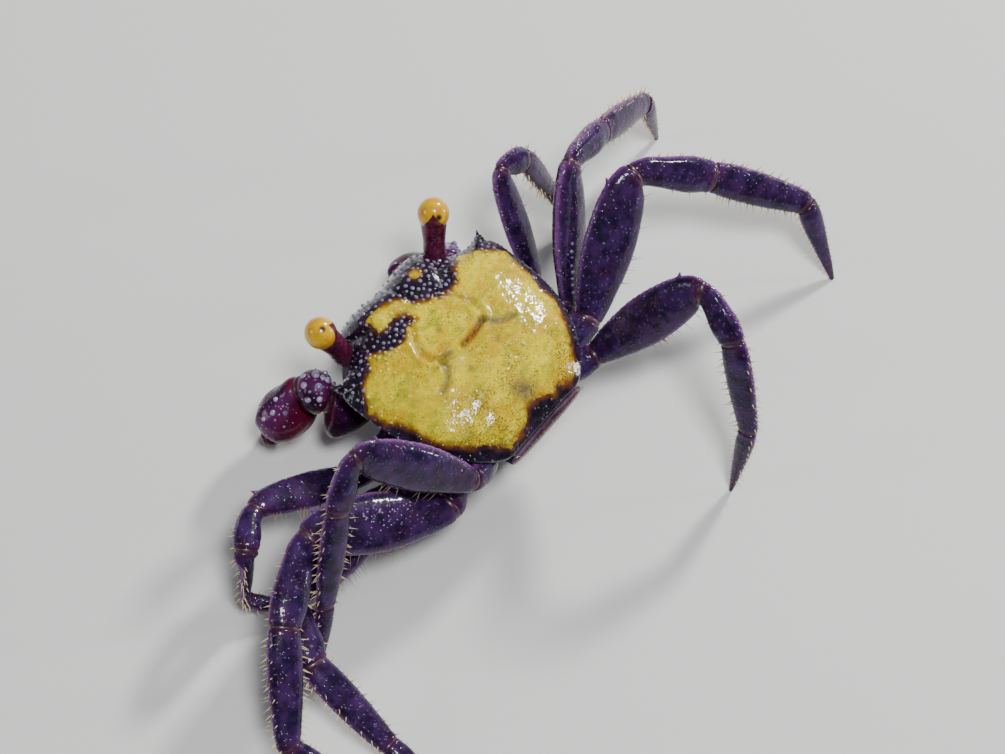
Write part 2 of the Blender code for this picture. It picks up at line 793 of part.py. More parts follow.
def build_claw(side, material):
    """Builds the arm, wrist, hand and moving finger of one claw."""
    sign = SIDES[side]
    pose = CLAW_POSES[side]
    points = (pose.shoulder, pose.elbow, pose.wrist, pose.palm_end, pose.tip)
    joints = [mirrored(p, sign) for p in points]
    shoulder, elbow, wrist, palm_end, tip = joints
    setbacks = [0.0, 0.8, min(1.4, 0.9 * (wrist - elbow).length - 0.8), 1.2]
    outer = mirrored(ARM_BULGE, sign)
    up = Vector((0, 0, 1))
    turn = (elbow - shoulder).angle(wrist - elbow)
    room = 0.8 * setbacks[1] / math.tan(turn / 2)
    arm_path = trim_ends(limb_path(joints, 0, 1, setbacks), 0.0, GAP / 2)
    arm = [
        (p + outer * shift, high, min(thin, room))
        for (p, _), (high, thin, shift) in zip(arm_path, ARM_SIZES)
    ]
    directions = [t for _, t in arm_path]
    path_loft(f"claw_{side}_arm", arm, (elbow - shoulder).cross(up), 12, material, 2.2, directions)
    wrist_path = trim_ends(limb_path(joints, 1, 1, setbacks), GAP / 2, GAP / 2)
    wrist_sizes = [
        (1.2, min(1.05, room)),
        (1.4, min(1.3, room)),
        (1.6, 1.5),
        (1.65, 1.5),
        (1.5, 1.4),
        (1.15, 1.15),
        (0.92, 1.0),
    ]
    knob = [(p, *size) for (p, _), size in zip(wrist_path, wrist_sizes)]
    directions = [t for _, t in wrist_path]
    normal = (wrist - elbow).cross(up)
    name = f"claw_{side}_wrist"
    path_loft(name, knob, normal, 12, material, 2.2, directions, WRIST_GRAINS)
    path = limb_path(joints, 2, 3, setbacks, 3) + limb_path(joints, 3, 3, setbacks, 3)[1:]
    path = trim_ends(path, GAP / 2, 0.0)
    thick = (palm_end - wrist).cross(mirrored(pose.dorsal, sign)).normalized()
    lumps = HAND_GRAINS + HAND_TEETH
    hand_loft(f"claw_{side}_hand", path, HAND_FORM, thick, 14, material, lumps)
    hand_loft(f"claw_{side}_finger", path, FINGER_FORM, thick, 10, material, FINGER_TEETH)


def hand_loft(name, path, form, thick, sides, material, lumps):
    """Lofts a hand or finger whose sections sit beside the hand's own line."""
    travelled = [0.0]
    for (a, _), (b, _) in zip(path, path[1:]):
        travelled.append(travelled[-1] + (b - a).length)
    stations = []
    directions = []
    for share, high, thin, shift in form:
        point, tangent = point_on_path(path, travelled, share * travelled[-1])
        broad = thick.cross(tangent).normalized()
        stations.append((point + broad * shift, high, thin))
        directions.append(tangent)
    path_loft(name, stations, thick, sides, material, 2.1, directions, lumps)


def point_on_path(path, travelled, way):
    """Returns the point and direction of a path at the given way along it."""
    index = 0
    while index < len(path) - 2 and travelled[index + 1] < way:
        index += 1
    (a, tangent_a), (b, tangent_b) = path[index], path[index + 1]
    s = (way - travelled[index]) / (travelled[index + 1] - travelled[index])
    s = min(s, 1.2)
    return a + (b - a) * s, (tangent_a + (tangent_b - tangent_a) * min(s, 1.0)).normalized()


def apply_modifiers(thing):
    """Replaces the object's mesh by the mesh that its modifiers make."""
    graph = bpy.context.evaluated_depsgraph_get()
    mesh = bpy.data.meshes.new_from_object(thing.evaluated_get(graph))
    thing.modifiers.clear()
    thing.data = mesh


def cut_socket(host, guest):
    """Cuts a socket in the host that clears the guest by the joint gap on every side."""
    cutter = guest.copy()
    cutter.data = guest.data.copy()
    bpy.context.collection.objects.link(cutter)
    builder = bmesh.new()
    builder.from_mesh(cutter.data)
    normals = [vert.normal.copy() for vert in builder.verts]
    for vert, normal in zip(builder.verts, normals):
        vert.co += normal * GAP * MM * 1.15
    builder.to_mesh(cutter.data)
    builder.free()
    cut = host.modifiers.new("socket", "BOOLEAN")
    cut.operation = "DIFFERENCE"
    cut.solver = "EXACT"
    cut.object = cutter
    apply_modifiers(host)
    bpy.data.objects.remove(cutter)


def keep_largest(thing):
    """Keeps only the largest closed surface of a mesh."""
    builder = bmesh.new()
    builder.from_mesh(thing.data)
    left = set(builder.verts)
    islands = []
    while left:
        seed = left.pop()
        island = {seed}
        front = [seed]
        while front:
            vert = front.pop()
            for edge in vert.link_edges:
                other = edge.other_vert(vert)
                if other in left:
                    left.remove(other)
                    island.add(other)
                    front.append(other)
        islands.append(island)
    islands.sort(key=len, reverse=True)
    for island in islands[1:]:
        bmesh.ops.delete(builder, geom=list(island), context="VERTS")
    builder.to_mesh(thing.data)
    builder.free()


def centre_on_footprint(root, things):
    """Shifts the crab so that the middle of its bounding box's underside is the origin."""
    corners = [
        thing.matrix_world @ vert.co for thing in things for vert in thing.data.vertices
    ]
    low = [min(c[k] for c in corners) for k in range(3)]
    high = [max(c[k] for c in corners) for k in range(3)]
    root.location = (-(low[0] + high[0]) / 2, -(low[1] + high[1]) / 2, -low[2])


def main():
    """Builds the whole crab."""
    clear_scene()
    random.seed(7)
    finish = {name: shell_material(name, colour) for name, colour in COLOURS.items()}
    build_carapace(finish["carapace"])
    thorax = build_thorax(finish["thorax"])
    build_abdomen(finish["thorax"])
    for side in SIDES:
        build_eye(side, finish["stalk"], finish["eye"])
        build_mouthpart(side, finish["thorax"])
        build_antenna(side, finish["stalk"])
        build_claw(side, finish["claw"])
        for number in LEG_PAIRS:
            for index in range(len(SEGMENTS)):
                leg_segment(side, number, index, finish["violet"])
    bpy.context.view_layer.update()
    for side in SIDES:
        guests = [f"leg_{side}_{number}_coxa" for number in LEG_PAIRS]
        guests += [f"{name}_{side}" for name in ("eyestalk", "mouthpart", "antenna")]
        guests.append(f"claw_{side}_arm")
        for guest in guests:
            cut_socket(thorax, bpy.data.objects[guest])
    keep_largest(thorax)
    set_lumps()
    bpy.context.view_layer.update()
    things = [thing for thing in bpy.data.objects if thing.type == "MESH"]
    root = bpy.data.objects.new("crab", None)
    bpy.context.collection.objects.link(root)
    centre_on_footprint(root, things)
    for thing in things:
        thing.parent = root


main()
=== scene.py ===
"""Dresses a still, life-size vampire crab and lights it on a pale floor.

Sizes are millimetres in the crab's own frame: it faces -Y, its left side is at +X, and the
floor is z = 0. They become metres in the row frame as each vertex is made.
"""

import logging
import math
import random
from dataclasses import dataclass, field
from enum import Enum

import bmesh
import bpy
from mathutils import Matrix, Vector, noise


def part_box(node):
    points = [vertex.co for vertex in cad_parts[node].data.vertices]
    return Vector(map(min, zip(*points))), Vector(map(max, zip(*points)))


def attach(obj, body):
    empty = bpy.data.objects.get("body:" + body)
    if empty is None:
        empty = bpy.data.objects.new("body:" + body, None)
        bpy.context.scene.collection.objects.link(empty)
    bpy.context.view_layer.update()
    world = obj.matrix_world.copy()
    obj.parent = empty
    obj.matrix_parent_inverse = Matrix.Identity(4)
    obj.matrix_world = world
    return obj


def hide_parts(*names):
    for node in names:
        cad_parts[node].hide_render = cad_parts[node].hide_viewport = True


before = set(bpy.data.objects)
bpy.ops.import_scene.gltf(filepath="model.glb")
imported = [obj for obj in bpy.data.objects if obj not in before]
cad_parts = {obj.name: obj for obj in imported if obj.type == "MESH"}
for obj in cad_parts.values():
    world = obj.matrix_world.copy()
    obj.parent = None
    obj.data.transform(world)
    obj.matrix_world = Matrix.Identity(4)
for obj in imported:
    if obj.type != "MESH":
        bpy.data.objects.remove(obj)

LOG = logging.getLogger("vampire_crab")
MM = 0.001
BODY = "root"
SEED = 11
MARGIN_HEIGHT = 9.2
CROWN = 1.75
SHELL_CENTRE = Vector((0.0, -0.2))
EYE_RADIUS = 1.13
FRONT_REACH = 8.48
CAP_STEPS = 5
SPINE_TIP = 0.12

# Half outlines from front to rear: x, y, height over the margin and, on the back, its fall
CARAPACE_EDGE = [
    (0.0, -8.25, -1.35, 9.0), (2.2, -8.45, -1.25, 9.0), (3.7, -8.2, -1.0, 8.0),
    (4.25, -7.6, -0.8, 6.0), (4.1, -6.9, -0.65, 6.0), (5.2, -5.9, -0.35, 5.0),
    (6.5, -5.3, -0.2, 4.0), (7.8, -5.35, -0.1, 3.2), (7.75, -4.6, -0.05, 3.2),
    (8.0, -4.1, 0.0, 3.2), (8.1, -3.0, 0.0, 3.2), (8.0, -0.5, 0.0, 3.2),
    (7.65, 1.8, 0.0, 3.0), (6.85, 3.8, -0.2, 3.0), (5.6, 5.6, -0.6, 3.0),
    (3.9, 6.95, -1.0, 3.0), (2.0, 7.05, -1.1, 3.0), (0.0, 7.05, -1.15, 3.0),
]
THORAX_EDGE = [
    (0.0, -7.7, -2.25), (2.2, -7.85, -2.2), (3.9, -7.6, -1.9), (5.2, -6.9, -1.7),
    (6.4, -5.9, -1.5), (7.3, -4.7, -1.2), (7.6, -2.8, -1.0), (7.5, -0.5, -1.0),
    (7.15, 1.8, -1.0), (6.3, 3.7, -1.2), (5.15, 5.3, -1.6), (3.6, 6.4, -2.0),
    (0.0, 6.5, -2.2),
]


class Named(Enum):
    """Members whose names stand in the names of the nodes."""

    @property
    def word(self) -> str:
        """Returns the member's name as the nodes spell it."""
        return self.name.lower()


class Side(Named):
    """The two sides of the body, with the sign of X on each."""

    LEFT = 1
    RIGHT = -1

    def place(self, point: tuple) -> Vector:
        """Returns a point given for the left side, on this side."""
        return Vector((point[0] * self.value, point[1], point[2]))


class Segment(Named):
    """The five plates of a walking leg, from the body outwards."""

    COXA = 0
    MERUS = 1
    CARPUS = 2
    PROPODUS = 3
    DACTYL = 4


def body_origin() -> Vector:
    """Returns where the crab's own frame has its origin, in metres in the row frame."""
    low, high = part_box("carapace")
    return Vector(((low.x + high.x) / 2, low.y + FRONT_REACH * MM, 0.0))


ORIGIN = body_origin()


def row(point: Vector) -> Vector:
    """Returns a point of the crab's frame, in millimetres, as metres in the row frame."""
    return Vector((point.x, point.y, point.z)) * MM + ORIGIN


def circle(count: int) -> list:
    """Returns evenly spaced angles all the way round."""
    return [2 * math.pi * i / count for i in range(count)]


def even(values: list) -> list:
    """Returns the values, each with its place, evenly spaced from 0 to 1."""
    return [(i / (len(values) - 1), value) for i, value in enumerate(values)]


def towards(way: Vector) -> Matrix:
    """Returns the turn that takes Z to a direction."""
    return way.to_track_quat("Z", "Y").to_matrix()


def lump(size: float, across: float = 1.0, high: float = 1.0) -> Vector:
    """Returns the three half sizes of a rounded lump."""
    return Vector((size, size * across, size * high))


def smooth_value(points: list, t: float) -> float:
    """Reads a smooth curve through (place, value) points.

    Args:
        points: Places in rising order with their values.
        t: The place that is read.

    Returns:
        The value at t.
    """
    places = [p[0] for p in points]
    values = [p[1] for p in points]
    t = min(max(t, places[0]), places[-1])
    span = max(i for i in range(len(places) - 1) if places[i] <= t or i == 0)
    width = places[span + 1] - places[span]
    local = (t - places[span]) / width
    before = max(span - 1, 0)
    after = min(span + 2, len(places) - 1)
    slope_in = (values[span + 1] - values[before]) / (places[span + 1] - places[before]) * width
    slope_out = (values[after] - values[span]) / (places[after] - places[span]) * width
    square = local * local
    cube = square * local
    return (
        (2 * cube - 3 * square + 1) * values[span]
        + (cube - 2 * square + local) * slope_in
        + (3 * square - 2 * cube) * values[span + 1]
        + (cube - square) * slope_out
    )


def smooth_outline(half: list, steps: int) -> list:
    """Runs a smooth closed outline through a half outline and its mirror image.

    Args:
        half: Points from the middle of one end to the middle of the other.
        steps: How many points stand for each of the given ones.

    Returns:
        The closed outline, with as many columns as the half outline has.
    """
    path = list(half) + [(-p[0], *p[1:]) for p in reversed(half[1:-1])]
    outline = []
    for i in range(len(path)):
        corners = zip(*(path[(i + k) % len(path)] for k in (-1, 0, 1, 2)))
        columns = list(corners)
        for step in range(steps):
            s = step / steps
            outline.append(
                tuple(
                    b
                    + 0.5 * s * (c - a)
                    + s * s * (a - 2.5 * b + 2 * c - 0.5 * d)
                    + s * s * s * (1.5 * (b - c) + 0.5 * (d - a))
                    for a, b, c, d in columns
                )
            )
    return outline


def smoothstep(low: float, high: float, value: float) -> float:
    """Returns 0 below low, 1 above high and a smooth rise between them."""
    t = min(max((value - low) / (high - low), 0.0), 1.0)
    return t * t * (3 - 2 * t)


def bump(distance: float, width: float) -> float:
    """Returns a bell that is 1 at no distance and falls off within about the width."""
    return math.exp(-((distance / width) ** 2))


def angle_between(a: float, b: float) -> float:
    """Returns the smallest turn between two angles."""
    return abs((a - b + math.pi) % (2 * math.pi) - math.pi)


def distance_to_path(point: Vector, path: list) -> float:
    """Returns how far a flat point is from a line of flat points."""
    best = 1e9
    for a, b in zip(path, path[1:]):
        run = b - a
        t = min(max((point - a).dot(run) / max(run.length_squared, 1e-9), 0.0), 1.0)
        best = min(best, (point - a - run * t).length)
    return best


def signed_distance(point: Vector, outline: list) -> float:
    """Returns how deep a flat point lies inside a closed outline, negative outside it."""
    inside = False
    closed = outline + outline[:1]
    for a, b in zip(closed, closed[1:]):
        if (a.y > point.y) != (b.y > point.y):
            if point.x < a.x + (b.x - a.x) * (point.y - a.y) / (b.y - a.y):
                inside = not inside
    reach = distance_to_path(point, closed)
    return reach if inside else -reach


def mesh_from(name: str, work: bmesh.types.BMesh, material: bpy.types.Material) -> bpy.types.Mesh:
    """Returns a mesh made from finished work, with its material."""
    mesh = bpy.data.meshes.new(name)
    work.to_mesh(mesh)
    work.free()
    mesh.materials.append(material)
    return mesh


def new_object(name: str, data) -> bpy.types.Object:
    """Returns a new object at the origin of the scene."""
    thing = bpy.data.objects.new(name, data)
    bpy.context.collection.objects.link(thing)
    return thing


class Piece:
    """One piece of the crab while its mesh is being shaped."""

    def __init__(self, name: str, marks: tuple = ()) -> None:
        """Starts an empty mesh under the given name, with room for the named numbers."""
        self.name = name
        self.work = bmesh.new()
        self.order = self.work.verts.layers.int.new("order")
        self.layers = {mark: self.work.verts.layers.float.new(mark) for mark in marks}

    @classmethod
    def over(cls, name: str, rings: list) -> "Piece":
        """Returns a piece skinned over rings, with room for the numbers in their marks."""
        piece = cls(name, tuple(rings[0][0][1]))
        piece.skin(rings)
        return piece

    def paint(self, verts: list, marks: dict | None) -> None:
        """Writes named numbers on vertices for their finish to read."""
        for name, value in (marks or {}).items():
            for vert in verts:
                vert[self.layers[name]] = value

    def skin(self, rings: list) -> None:
        """Closes the first ring and extrudes it through all the others.

        Args:
            rings: Lists of one length, with a pair of a point and its marks for each vertex.
        """
        first = [self.work.verts.new(row(point)) for point, _ in rings[0]]
        for index, vert in enumerate(first):
            vert[self.order] = index
            self.paint([vert], rings[0][index][1])
        edges = [self.work.edges.new((first[i - 1], first[i])) for i in range(len(first))]
        bmesh.ops.contextual_create(self.work, geom=edges)
        for ring in rings[1:]:
            grown = bmesh.ops.extrude_edge_only(self.work, edges=edges)["geom"]
            edges = [item for item in grown if isinstance(item, bmesh.types.BMEdge)]
            for vert in (item for item in grown if isinstance(item, bmesh.types.BMVert)):
                point, marks = ring[vert[self.order]]
                vert.co = row(point)
                self.paint([vert], marks)
            edges = [edge for edge in edges if len(edge.link_faces) == 1]
        bmesh.ops.contextual_create(self.work, geom=edges)

    def spine(
        self, root: Vector, tip: Vector, radius: float, sides: int = 5, marks: dict | None = None
    ) -> None:
        """Adds a tapering spine with a nearly sharp tip.

        Args:
            root: Where it leaves the shell.
            tip: Where it ends.
            radius: Its radius at the root.
            sides: How many sides it has.
            marks: Numbers for its finish to read.
        """
        run = tip - root
        made = bmesh.ops.create_cone(
            self.work,
            cap_ends=True,
            segments=sides,
            radius1=radius * MM,
            radius2=radius * MM * SPINE_TIP,
            depth=run.length * MM,
            matrix=Matrix.Translation(row((root + tip) / 2)) @ towards(run).to_4x4(),
        )["verts"]
        self.paint(made, marks)
        if "shaft" in self.layers:
            for vert in made:
                near_tip = (vert.co - row(tip)).length < 1.5 * radius * MM
                self.paint([vert], {"shaft": 1.0 if near_tip else 0.0})

    def ball(
        self,
        centre: Vector,
        size: Vector,
        turn: Matrix | None = None,
        level: int = 2,
        marks: dict | None = None,
    ) -> None:
        """Adds a rounded lump.

        Args:
            centre: Its middle.
            size: Its three half sizes.
            turn: How it is turned.
            level: How finely it is divided.
            marks: Numbers for its finish to read.
        """
        place = Matrix.Translation(row(centre)) @ (turn or Matrix.Identity(3)).to_4x4()
        place = place @ Matrix.Diagonal((*(part * MM for part in size), 1.0))
        made = bmesh.ops.create_icosphere(self.work, subdivisions=level, radius=1.0, matrix=place)
        self.paint(made["verts"], marks)

    def finish(self, material: bpy.types.Material, slot: str, *nodes: str) -> None:
        """Turns the work into an object of the crab.

        Args:
            material: Its finish.
            slot: The record's material slot; not used.
            nodes: The CAD nodes that it stands for.
        """
        bmesh.ops.recalc_face_normals(self.work, faces=self.work.faces)
        mesh = mesh_from(self.name, self.work, material)
        mesh.shade_smooth()
        thing = new_object(self.name, mesh)
        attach(thing, BODY)
        if nodes:
            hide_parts(*nodes)
        LOG.info("%s: %d faces", self.name, len(mesh.polygons))


class Wiring:
    """A node tree while its nodes are being joined up."""

    def __init__(self, tree: bpy.types.NodeTree) -> None:
        """Keeps the tree that is wired."""
        self.tree = tree

    def add(self, kind: str, inputs: dict | None = None, **settings) -> bpy.types.Node:
        """Adds a node.

        Args:
            kind: Its type.
            inputs: Values or sockets for its inputs, by name or number.
            settings: Values for its own properties.

        Returns:
            The new node.
        """
        node = self.tree.nodes.new(kind)
        for name, value in settings.items():
            setattr(node, name, value)
        self.feed(node, inputs or {})
        return node

    def feed(self, node: bpy.types.Node, inputs: dict) -> None:
        """Links sockets to a node's inputs, or sets plain values on them."""
        for name, value in inputs.items():
            socket = node.inputs[name]
            if isinstance(value, bpy.types.NodeSocket):
                self.tree.links.new(value, socket)
            elif isinstance(value, tuple) and socket.type == "RGBA":
                socket.default_value = (*value[:3], 1.0)
            else:
                socket.default_value = value

    def millimetres(self, stretch: tuple = (1.0, 1.0, 1.0)) -> bpy.types.NodeSocket:
        """Returns the object's own coordinates in millimetres."""
        coordinates = self.add("ShaderNodeTexCoord").outputs["Object"]
        scale = tuple(1000.0 * s for s in stretch)
        mapping = self.add("ShaderNodeMapping", {"Vector": coordinates, "Scale": scale})
        return mapping.outputs["Vector"]

    def mark(self, name: str) -> bpy.types.NodeSocket:
        """Returns a number that was painted on the mesh."""
        return self.add("ShaderNodeAttribute", attribute_name=name).outputs["Fac"]

    def clouds(self, vector, scale: float, detail=2.0, rough=0.5) -> bpy.types.NodeSocket:
        """Returns soft noise with about that many waves to the millimetre."""
        inputs = {"Vector": vector, "Scale": scale, "Detail": detail, "Roughness": rough}
        return self.add("ShaderNodeTexNoise", inputs).outputs["Fac"]

    def span(self, value, low: float, high: float, start=0.0, end=1.0) -> bpy.types.NodeSocket:
        """Maps low..high onto start..end with soft ends."""
        inputs = {0: value, 1: low, 2: high, 3: start, 4: end}
        return self.add("ShaderNodeMapRange", inputs, interpolation_type="SMOOTHSTEP").outputs[0]

    def math(self, operation: str, a, b=0.0) -> bpy.types.NodeSocket:
        """Returns the result of a named operation on two numbers."""
        return self.add("ShaderNodeMath", {0: a, 1: b}, operation=operation).outputs[0]

    def times(self, a, b) -> bpy.types.NodeSocket:
        """Returns the product of two numbers."""
        return self.math("MULTIPLY", a, b)

    def plus(self, a, b) -> bpy.types.NodeSocket:
        """Returns the sum of two numbers."""
        return self.math("ADD", a, b)

    def mix(self, share, a, b) -> bpy.types.NodeSocket:
        """Mixes two colours."""
        return self.add("ShaderNodeMix", {0: share, 6: a, 7: b}, data_type="RGBA").outputs[2]

    def tint(self, colour, other, share, strength) -> bpy.types.NodeSocket:
        """Mixes another colour into one, by a share and its strength."""
        return self.mix(self.times(share, strength), colour, other)

    def place(self, group: bpy.types.NodeTree, inputs: dict) -> bpy.types.bpy_prop_collection:
        """Puts a shared node group in the tree and returns its outputs."""
        return self.add("ShaderNodeGroup", inputs, node_tree=group).outputs

    def relief(self, height, strength: float, depth: float) -> bpy.types.NodeSocket:
        """Returns the normal of a surface with small relief on it.

        Args:
            height: The socket with the relief's height.
            strength: How strongly it shows.
            depth: How many metres the height stands for.

        Returns:
            The normal's socket.
        """
        inputs = {"Strength": strength, "Distance": depth, "Height": height}
        return self.add("ShaderNodeBump", inputs).outputs["Normal"]


class Effects:
    """Shader node groups that several finishes share, each built once."""

    def __init__(self) -> None:
        """Builds the groups."""
        self.granules = self.build_granules()
        self.speckle = self.build_speckle()
        self.border = self.build_border()

    @staticmethod
    def start(name: str, inputs: tuple, outputs: tuple) -> tuple:
        """Starts a group.

        Args:
            name: Its name.
            inputs: The names of its inputs.
            outputs: The names of its outputs.

        Returns:
            The group, its wiring, the sockets of its inputs, and its output node.
        """
        group = bpy.data.node_groups.new(name, "ShaderNodeTree")
        for way, words in (("INPUT", inputs), ("OUTPUT", outputs)):
            for word in words:
                kind = "NodeSocketVector" if word == "Vector" else "NodeSocketFloat"
                group.interface.new_socket(word, in_out=way, socket_type=kind)
        wiring = Wiring(group)
        return group, wiring, wiring.add("NodeGroupInput").outputs, wiring.add("NodeGroupOutput")

    def build_granules(self) -> bpy.types.NodeTree:
        """Makes the group of low rounded grains: a height and a mask."""
        names = ("Vector", "Scale", "Size", "Share")
        group, wiring, source, result = self.start("shell granules", names, ("Height", "Mask"))
        inputs = {"Vector": source["Vector"], "Scale": source["Scale"]}
        cell = wiring.add("ShaderNodeTexVoronoi", inputs).outputs
        near = wiring.math("DIVIDE", cell["Distance"], source["Size"])
        dome = wiring.span(near, 0.0, 1.0, 1.0, 0.0)
        pick = wiring.add("ShaderNodeSeparateColor", {0: cell["Color"]}).outputs[0]
        height = wiring.times(dome, wiring.math("LESS_THAN", pick, source["Share"]))
        wiring.feed(result, {"Height": height, "Mask": wiring.span(height, 0.25, 0.6)})
        return group

    def build_speckle(self) -> bpy.types.NodeTree:
        """Makes the group of fine, uneven specks."""
        names = ("Vector", "Scale", "Amount")
        group, wiring, source, result = self.start("fine specks", names, ("Mask",))
        fine = wiring.clouds(source["Vector"], source["Scale"], 3.0, 0.65)
        patches = wiring.clouds(source["Vector"], 0.55)
        level = wiring.plus(fine, wiring.times(patches, 0.35))
        level = wiring.plus(level, wiring.times(source["Amount"], 0.4))
        wiring.feed(result, {"Mask": wiring.span(level, 0.82, 0.94)})
        return group

    def build_border(self) -> bpy.types.NodeTree:
        """Makes the group that turns a painted depth into a ragged border."""
        names = ("Depth", "Vector", "Ragged", "Soft")
        group, wiring, source, result = self.start("ragged border", names, ("Mask", "Rim"))
        broad = wiring.math("SUBTRACT", wiring.clouds(source["Vector"], 1.6, 3.0, 0.6), 0.5)
        depth = wiring.plus(source["Depth"], wiring.times(broad, source["Ragged"]))
        edge = wiring.math("DIVIDE", depth, source["Soft"])
        rim = wiring.span(wiring.math("ABSOLUTE", edge), 0.2, 2.4, 1.0, 0.0)
        wiring.feed(result, {"Mask": wiring.span(edge, -0.5, 0.5), "Rim": rim})
        return group


def start_material(name: str) -> tuple:
    """Returns a new material, its wiring and its shader."""
    material = bpy.data.materials.new(name)
    material.use_nodes = True
    return material, Wiring(material.node_tree), material.node_tree.nodes["Principled BSDF"]


def set_gloss(shader: bpy.types.Node, coat: float, roughness: float, specular: float) -> None:
    """Sets the wet film over a finish on the shader's own sockets."""
    shader.inputs["Coat Weight"].default_value = coat
    shader.inputs["Coat Roughness"].default_value = roughness
    shader.inputs["Specular IOR Level"].default_value = specular


@dataclass(frozen=True)
class LimbFinish:
    """Wet violet limb shell with reddened joints; its paler edges and small pale grains are partly
    its own colour and partly painted highlights.
    """

    name: str
    deep: tuple
    light: tuple
    # Edge colour: partly the shell's own paler edges, partly a painted highlight along the ridges
    rim: tuple
    joint: tuple
    # Grain colours, lighter than the shell: partly the grains' own colour, partly painted
    # highlights on them
    grain: tuple
    pebble_and_sheen: tuple = (0.085, 0.045, 0.16)
    grain_share: float = 0.8
    joint_strength: float = 0.4

    def make(self, effects: Effects) -> bpy.types.Material:
        """Builds the material."""
        material, wiring, shader = start_material(self.name)
        spot = wiring.millimetres()
        cloud = wiring.clouds(spot, 0.9, 4.0, 0.6)
        colour = wiring.mix(wiring.span(cloud, 0.35, 0.68), self.deep, self.light)
        # Paler edges: partly the shell's own edge colour, partly a painted highlight along the
        # ridges
        rim = wiring.mark("rim")
        edge = wiring.times(rim, wiring.span(wiring.clouds(spot, 2.2), 0.2, 0.6, 0.5, 1.0))
        colour = wiring.tint(colour, self.rim, edge, 0.85)
        specks = wiring.place(effects.speckle, {"Vector": spot, "Scale": 5.0, "Amount": 0.3})
        colour = wiring.tint(colour, self.joint, specks["Mask"], 0.45)
        colour = wiring.tint(colour, self.joint, wiring.mark("joint"), self.joint_strength)
        # Grains are painted lighter, and lightest near the edges: partly their own colour, partly
        # painted highlights
        inputs = {"Vector": spot, "Scale": 3.4, "Size": 0.40, "Share": self.grain_share}
        grains = wiring.place(effects.granules, inputs)
        grain_and_glint = wiring.times(grains["Mask"], wiring.span(cloud, 0.3, 0.6, 0.3, 0.9))
        colour = wiring.mix(grain_and_glint, colour, self.pebble_and_sheen)
        colour = wiring.tint(colour, self.grain, grain_and_glint, rim)
        rough = wiring.span(wiring.clouds(spot, 3.0, 3.0), 0.3, 0.7, 0.22, 0.44)
        height = wiring.plus(grains["Height"], wiring.times(wiring.clouds(spot, 7.0, 3.0), 0.25))
        ripple = wiring.plus(grains["Height"], wiring.clouds(spot, 1.8))
        wiring.feed(shader, {
            "Base Color": colour,
            "Roughness": rough,
            "Normal": wiring.relief(height, 0.7, 0.00006),
            "Coat Normal": wiring.relief(ripple, 0.5, 0.00007),
        })
        set_gloss(shader, 0.42, 0.035, 0.08)
        return material


